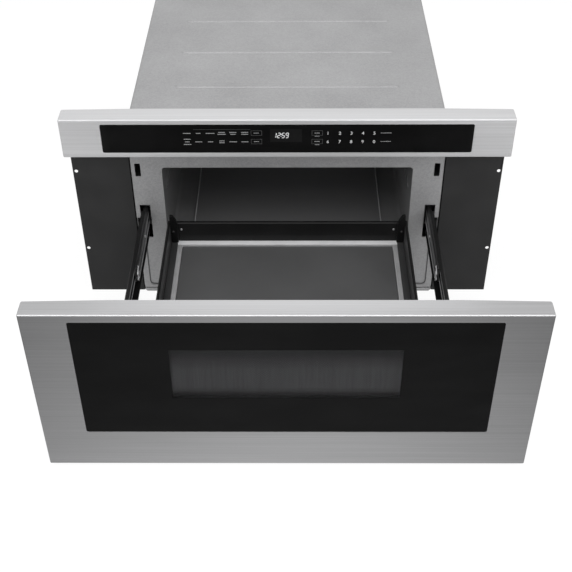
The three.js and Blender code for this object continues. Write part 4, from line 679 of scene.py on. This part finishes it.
plate_low, plate_high = box_mm("front_plate")
reach, foot, face = plate_high[0], plate_low[2], plate_low[1]
# Painted shade: the black foam beads sit where the gaps to the wings and the base pan show as dark lines, and
# their black stands also for that shade.
gap_shade_foam = new_material("black_foam_gap_shade", powder, Specular_IOR_Level=0.05, Tone=0.003, Worn=0.005, Rough=0.9,
                    Pebble=1200.0, Depth=0.3)
# Painted shade: the pressed line is a bead of dark zinc that stands for the shade in the pressing.
shadow_zinc = new_material("pressed_line_painted_shade", spangle, Metallic=0.35, Dark=0.06, Light=0.09, Rough=0.5)
both_sides = (("left", -1), ("right", 1))
line_radius, corner_bend = 8.4, np.linspace(0, np.pi / 2, 8)
turned = [[math.cos(a), -math.sin(a)] for a in corner_bend]
line = np.concatenate([[[reach - 12.2, foot + 112], [reach - 11.6, foot + 60]],
                       [reach - 20, foot + 17] + line_radius * np.array(turned),
                       [[reach - 68, foot + 17 - line_radius]]])
for side_name, side in both_sides:
    swept_bead(f"pressed_line_{side_name}", at_depth(line * [side, 1], face + 0.05), (0, -1, 0),
               half_round(1.9, 0.5), shadow_zinc, "chassis")
wing_face = box_mm("wing_left")[0][1]
for side_name, side in both_sides:
    path = [[side * (reach + 1.2), wing_face - 0.05, z] for z in np.linspace(foot + 2, 327.5, 9)]
    swept_bead(f"foam_bead_{side_name}", path, (0, -1, 0), half_round(2.3, 0.8), gap_shade_foam,
               "chassis")
path = [[x, face + 2.1, 8.9] for x in np.linspace(3 - reach, reach - 3, 9)]
swept_bead("foam_bead_low", path, (0, -1, 0), half_round(1.9, 0.9), gap_shade_foam, "chassis")
path = [[x, face + 2.3, 4.1] for x in np.linspace(2.9 - reach, reach - 2.9, 9)]
swept_bead("base_pan_hem", path, (0, -1, 0), rounded_bar(7.4, 2.5, 1.1), zinc, "chassis")

# ---------------------------------------------------------------------
# Cover ribs: three stiffening ribs across the casing's top, galvanised like the cover. They are
# pressed up out of its sheet, and their ends are rounded.

cover_high = box_mm("outer_cover")[1]
rib_half, rib_end, rib_points = 200, 5, 33
across = np.linspace(-1, 1, rib_points)
across = np.sign(across) * (1 - (1 - np.abs(across)) ** 2)
near_end = np.clip((np.abs(across) * rib_half - (rib_half - rib_end)) / rib_end, 0, 1)
swell = np.sqrt(np.clip(1 - near_end ** 2, 0.0025, 1))
for number, y in enumerate((-150, -20, 110), 1):
    path = [[rib_half * share, y, cover_high[2] - 0.4] for share in across]
    swept_bead(f"cover_rib_{number}", path, (0, 0, 1), half_round(9.6, 1.7), zinc, "chassis",
               swell=swell)

# ---------------------------------------------------------------------
# Cavity sealant: a bead of pale heat-proof sealant, laid round the ceramic floor plate to close the
# gap between it and the cavity's floor.

sealant = new_material("floor_sealant", powder, Specular_IOR_Level=0.3, Tone=0.42, Worn=0.5, Rough=0.5,
                       Pebble=500.0)
ceramic_low, ceramic_high = box_mm("cavity_floor_plate")
loop = loop_of(ceramic_high[0] + 0.4, ceramic_low[1] - 0.4, ceramic_high[1] + 0.4, 6)
swept_bead("floor_sealant", np.insert(loop, 2, ceramic_high[2] - 0.1, axis=1), (0, 0, 1), half_round(2.4, 0.9),
           sealant, "chassis", closed=True)

# ---------------------------------------------------------------------
# Drawer trim and tray: an anodised frame round a grey glass floor, its rear bar a lighter copy of the frame's
# satin as painted light; thin sheets of a lighter copy of the box's coat on its ledges and walls, painted
# light too; a moulded cap in each rear corner of the box, and the moulded cover of the choke.

satin, given, handed = new_group("satin_streaks", Dark=grey(0.4), Light=grey(0.5), Rough=0.4)
lines = noise_of(satin, 40, 40, 900)
grainy = noise_of(satin, 1400)
fill_group(satin, given, handed, spread(satin, lines, 0.3, 0.7), spread(satin, grainy, 0.3, 0.7, -0.05, 0.06),
           (0.08, 0.0001, grainy))
trim_satin = new_material("trim_satin", satin, Metallic=0.35, Dark=0.41, Light=0.51, Rough=0.42)
eased("tray_trim", 0.5, trim_satin, "drawer")
trim_low, trim_high = box_mm("tray_trim")
trim_top = trim_high[2] + 0.05
# Painted light: the rear bar is a lighter copy of the frame's satin, bright as the lit rear edge of the frame.
rear_bar_painted_light = new_material("rear_bar_satin_painted_light", satin, Metallic=0.15, Dark=0.71, Light=0.79, Rough=0.4)
path = [[x, trim_high[1] - 6, trim_top] for x in np.linspace(-200.2, 200.2, 9)]
swept_bead("tray_rear_bar", path, (0, 0, 1), rounded_bar(11.4, 0.6, 0.25), rear_bar_painted_light, "drawer")
# Painted light: thin sheets of a lighter copy of the box's coat lie on its ledges and the inner faces of its
# walls, lighter as where the light falls on them.
ledge_coat_painted_light = new_material("ledge_coat_painted_light", powder, Specular_IOR_Level=0.4, Tone=0.036, Worn=0.046, Rough=0.4,
                          **fine_pebble)
along = np.linspace(trim_low[1] + 2, trim_high[1] - 0.3, 9)
for side_name, side in both_sides:
    swept_bead(f"ledge_light_sheet_{side_name}", [[side * 206.4, y, trim_top] for y in along], (0, 0, 1),
               rounded_bar(12, 0.4, 0.15), ledge_coat_painted_light, "drawer")
    swept_bead(f"wall_light_sheet_{side_name}", [[side * 212.55, y, trim_high[2] + 19.5] for y in along],
               (-side, 0, 0), rounded_bar(38, 0.35, 0.15), ledge_coat_painted_light, "drawer")
tray_glass = new_material("grey_tray_glass", smudge, Specular_IOR_Level=0.35, Tone=0.075, Dust=0.09, Rough=0.28)
eased("glass_tray", 0.8, tray_glass, "drawer")
moulded, given, handed = new_group("moulded_plastic", Tone=grey(0.02), Sheen=grey(0.03), Rough=0.45, Depth=0.2)
leather = noise_of(moulded, 700, detail=4.0, rough=0.6)
fill_group(moulded, given, handed, spread(moulded, noise_of(moulded, 18), 0.35, 0.65),
           spread(moulded, leather, 0.3, 0.7, -0.06, 0.06), (given["Depth"], 0.0002, leather))
black_moulded = new_material("black_moulded", moulded, Specular_IOR_Level=0.35, Tone=0.012, Sheen=0.017)
cap_black = new_material("corner_cap_black", moulded, Specular_IOR_Level=0.15, Tone=0.004, Sheen=0.007,
                         Depth=0.1)
for side_name, side in both_sides:
    eased("corner_cap_" + side_name, 0.7, cap_black, "drawer")
eased("choke_cover", 0.5, black_moulded, "drawer")

# ---------------------------------------------------------------------
# Telescopic slides: rolled steel channels, blacked, that run in each other on caged bearing balls.
# The drawer's arm is a folded channel; the drawer member is riveted to it.

rolled, given, handed = new_group("rolled_steel", Dark=grey(0.05), Light=grey(0.1), Rough=0.32)
rolling = noise_of(rolled, 1500, 5, 1500)
scuff = noise_of(rolled, 160, 22, 160, detail=3.0)
fill_group(rolled, given, handed, spread(rolled, math_of(rolled, "ADD", rolling, scuff), 0.8, 1.3),
           spread(rolled, scuff, 0.35, 0.7, -0.06, 0.1), (0.1, 0.0001, rolling))
blacked_steel = new_material("blacked_slide_steel", rolled, Metallic=0.9, Dark=0.06, Light=0.10, Rough=0.38)
bright_steel = new_material("bright_steel", rolled, Metallic=1.0, Dark=0.42, Light=0.58, Rough=0.37)
# Painted highlight: the race and lip beads are real shapes, but their steel is paler than the blacked slide and
# stands for the bright lines of light along its edges.
race_painted_highlight = new_material("race_painted_highlight", rolled, Metallic=0.5, Dark=0.26, Light=0.38, Rough=0.38)
# Painted glints: the stop spring and its rivet are parts of the slide, but their pale steel stands for small
# glints at the front of the middle member.
stop_glint_steel = new_material("stop_glint_steel", rolled, Metallic=0.4, Dark=0.6, Light=0.75, Rough=0.37)
arm_coat = new_material("arm_coat", powder, Specular_IOR_Level=0.15, Tone=0.006, Worn=0.009, Rough=0.42,
                        **fine_pebble)


def strip_along(line, thickness, radius, steps=5):
    """The two sides (n, 2, 2) of a strip: its centre line turns each corner on an arc about
    corner + r / cos(a / 2) along the bisector, and each side lies half a thickness off along the normal."""
    line = np.asarray(line, float)
    way = unit(np.diff(line, axis=0))
    off = np.stack([-way[:, 1], way[:, 0]], -1)
    cross = way[:-1, 0] * way[1:, 1] - way[:-1, 1] * way[1:, 0]
    bend = np.arctan2(cross, (way[:-1] * way[1:]).sum(1))[:, None, None]
    bisector = unit(off[:-1] + off[1:])
    hand = np.sign(bend[:, 0])
    centre = line[1:-1] + hand * radius / np.cos(bend[:, 0] / 2) * bisector
    turn = np.linspace(0, 1, steps)[None, :, None] * bend
    normal = off[:-1, None] * np.cos(turn) - way[:-1, None] * np.sin(turn)
    arc = centre[:, None] - hand[:, None] * radius * normal
    middle = np.concatenate([line[:1], arc.reshape(-1, 2), line[-1:]])
    normal = np.concatenate([off[:1], normal.reshape(-1, 2), off[-1:]])
    return np.stack([middle + normal * thickness / 2, middle - normal * thickness / 2], 1)


def rolled_member(part, side_name, side, radius, body):
    """One member of a slide, open outwards or, on the drawer, inwards: its section in x and z is carried
    along y and closed at both ends. Returns its near and far |x|, front and rear y, low and high z."""
    name, replaced, sheet = f"slide_{part}_rolled_{side_name}", f"slide_{part}_member_{side_name}", 1.2
    low, high = box_mm(replaced)
    near, far = sorted((abs(low[0]), abs(high[0])))
    lip, web = (near, far - sheet / 2) if part == "drawer" else (far, near + sheet / 2)
    top, foot = high[2] - sheet / 2, low[2] + sheet / 2
    sides = strip_along([(lip, top), (web, top), (web, foot), (lip, foot)], sheet, radius)
    count = len(sides)
    outline = np.concatenate([sides[:, 0], sides[::-1, 1]]) * [side, 1]
    step = np.arange(count - 1)
    cap = np.stack([step, step + 1, 2 * count - 2 - step, 2 * count - 1 - step], -1)
    faces = np.concatenate([grid_faces(2, 2 * count), cap, cap + 2 * count])
    mesh = lay_mesh(name, [at_depth(outline, y) for y in (low[1], high[1])], faces)
    add_piece(name, turned_outwards(mesh), blacked_steel, body, (replaced,), 0.25, 50)
    return near, far, low[1], high[1], low[2], high[2]


def add_heads(name, places, axis, profile, material, body, around=18, lobes=0.12):
    """Screw or rivet heads as one piece: rows of radius and height turned round an axis ('x', 'y' or 'z',
    signed) at every place. The last three radii are bent by 1 + lobes cos 6a, for a six-lobed recess."""
    places, profile = np.asarray(places, float), np.asarray(profile, float)
    angle = np.arange(around) * 2 * np.pi / around
    star = np.where(np.arange(len(profile)) >= len(profile) - 3, lobes, 0.0)[:, None] * np.cos(6 * angle)
    radius = profile[:, :1] * (1 + star)
    u, v = radius * np.cos(angle), radius * np.sin(angle)
    h = np.broadcast_to(profile[:, 1:], u.shape) * (-1 if axis[0] == "-" else 1)
    shape = np.stack({"x": (h, u, v), "y": (u, h, v), "z": (u, v, h)}[axis[-1]], -1).reshape(-1, 3)
    faces = copied_faces(grid_faces(len(profile), around), len(shape), len(places))
    mesh = lay_mesh(name, places[:, None] + shape, faces)
    add_piece(name, turned_outwards(mesh), material, body)


rivet_head = [(0, 1.2), (1.2, 1.1), (2.2, 0.7), (2.7, 0.0), (2.7, -0.4), (0, -0.4)]
wire_radius, wire_angle = 0.65, np.arange(10) * np.pi / 5
spring_wire = wire_radius * np.stack([1 + np.sin(wire_angle), np.cos(wire_angle)], -1)
for side_name, side in both_sides:
    middle_body, inward = "slide_middle_" + side_name, "x" if side < 0 else "-x"
    rolled_member("cabinet", side_name, side, 2.2, "chassis")
    near, far, front, rear, low, high = rolled_member("middle", side_name, side, 1.8, middle_body)
    for bead, z, rise in (("upper", high - 12.0, 0.7), ("lower", low + 1.0, 1.5)):
        path = [[side * near, y, z] for y in np.linspace(front + 3, rear - 3, 9)]
        swept_bead(f"race_bead_{bead}_{side_name}", path, (-side, 0, 0), half_round(2.0, rise), race_painted_highlight,
                   middle_body)
    add_heads(f"stop_rivet_{side_name}", [(side * near, front + 111, high - 17)], inward, rivet_head,
              stop_glint_steel, middle_body, 12, 0.0)
    turn = np.linspace(0, 4.5 * np.pi, 55)
    spring = at_depth(np.stack([np.full(55, side * near), high - 2.5 - 1.9 * turn], -1),
                      front + 2.5 + 8 * np.cos(turn))
    swept_bead(f"stop_spring_{side_name}", spring, (-side, 0, 0), spring_wire, stop_glint_steel,
               middle_body)
    near, far, front, rear, low, high = rolled_member("drawer", side_name, side, 1.4, "drawer")
    for bead, z in (("upper", high - 0.8), ("lower", low + 0.8)):
        path = [[side * near, y, z] for y in np.linspace(front + 1, rear - 1, 9)]
        swept_bead(f"lip_bead_{bead}_{side_name}", path, (-side, 0, 0), half_round(1.3, 1.1), race_painted_highlight,
                   "drawer")
    rivets = [(side * (far - 1.5), front + (rear - front) * share, (low + high) / 2)
              for share in (0.06, 0.3, 0.54, 0.78, 0.96)]
    add_heads(f"slide_rivets_{side_name}", rivets, inward, rivet_head, bright_steel, "drawer", 12, 0.0)
    eased("slide_arm_" + side_name, 0.4, arm_coat, "drawer")
    wear(bright_steel, "ball_cage_outer_" + side_name, "ball_cage_inner_" + side_name)
    eased("latch_hook_" + side_name, 0.3, bright_steel, "drawer")
    eased("interlock_" + side_name, 0.4, black_moulded, "chassis")

# ---------------------------------------------------------------------
# Fasteners: pan-head steel screws with a six-lobed recess, zinc plated or blacked. They hold the cover,
# the back panel, the drawer front's inner panel, the drawer's rear wall and its corner caps.

screw_head = [(0, -0.3), (3.4, -0.3), (3.5, 0.2), (3.3, 1.0), (2.6, 1.75), (1.75, 2.05), (1.6, 1.9), (1.5, 0.9),
              (0, 0.8)]
small_head = 0.62 * np.array(screw_head)
screw_zinc = new_material("screw_zinc", rolled, Metallic=1.0, Dark=0.4, Light=0.55, Rough=0.37)
screw_black = new_material("screw_black", rolled, Metallic=0.8, Dark=0.05, Light=0.09, Rough=0.37)
wall_face, cap_face = box_mm("drawer_box")[1][1] - 6.9, box_mm("corner_cap_left")[0][1]
add_heads("rear_wall_screws", [(x, wall_face, 159) for x in (-193, 193)], "-y", small_head, screw_zinc,
          "drawer")
add_heads("corner_cap_screws", [(x, cap_face, 158.5) for x in (-207, 207)], "-y", small_head, screw_black,
          "drawer")
cover_edge = cover_high[1] - 6.5
for (side_name, side), axis in zip(both_sides, ("-x", "x")):
    places = [(side * cover_high[0], cover_edge, z) for z in (55, 185, 320)]
    places += [(side * cover_high[0], y, 11) for y in (-215, -70, 75, 215)]
    add_heads(f"cover_screws_{side_name}", places, axis, screw_head, screw_zinc, "chassis")
panel_back, inner_back = (box_mm(name)[1][1] for name in ("back_panel", "drawer_inner_panel"))
panel_places = [(x, panel_back, z) for x in (-258, 258) for z in (14, 356)] + [(-176, panel_back, 48)]
front_places = [(x, inner_back, z) for x in (-358, 358) for z in (28, 165, 302)]
add_heads("cover_screws_top", [(x, cover_edge, cover_high[2]) for x in (-200, 0, 200)], "z", screw_head,
          screw_zinc, "chassis")
add_heads("back_panel_screws", panel_places, "y", screw_head, screw_zinc, "chassis")
add_heads("front_panel_screws", front_places, "y", screw_head, screw_zinc, "drawer")

# ---------------------------------------------------------------------
# Inside the casing: magnetron, waveguide, antenna, high-voltage supply, fan, lamp and boards, in bright
# or dark steel, moulded plastic and green laminate, bolted to the base pan, the cavity and the fascia.

board_green, given, handed = new_group("laminate_board", relief=False, Ground=(0.02, 0.09, 0.045, 1),
                                       Track=(0.05, 0.2, 0.1, 1), Rough=0.35)
tracks = node(board_green, "ShaderNodeTexVoronoi", [("Vector", object_space(board_green)), ("Scale", 180.0)],
              distance="MANHATTAN", feature="F2").outputs["Distance"]
fill_group(board_green, given, handed, spread(board_green, tracks, 0.55, 0.6),
           spread(board_green, tracks, 0.5, 0.7, 0.0, 0.15))
wear(new_material("board_laminate", board_green), "control_board", "power_board")
wear(bright_steel, "magnetron", "waveguide", "rotating_antenna", "antenna_motor", "hv_capacitor", "fan_motor",
     "drive_pinion")
wear(black_moulded, "fan_shroud", "fan_rotor", "cord_gland", "control_carrier", "display_module", "drive_motor",
     "drawer_rack")
wear(new_material("cream_moulded", moulded, Tone=0.5, Sheen=0.6), "oven_lamp")
wear(new_material("core_steel", satin, Metallic=0.4, Dark=0.03, Light=0.09, Rough=0.5), "hv_transformer")
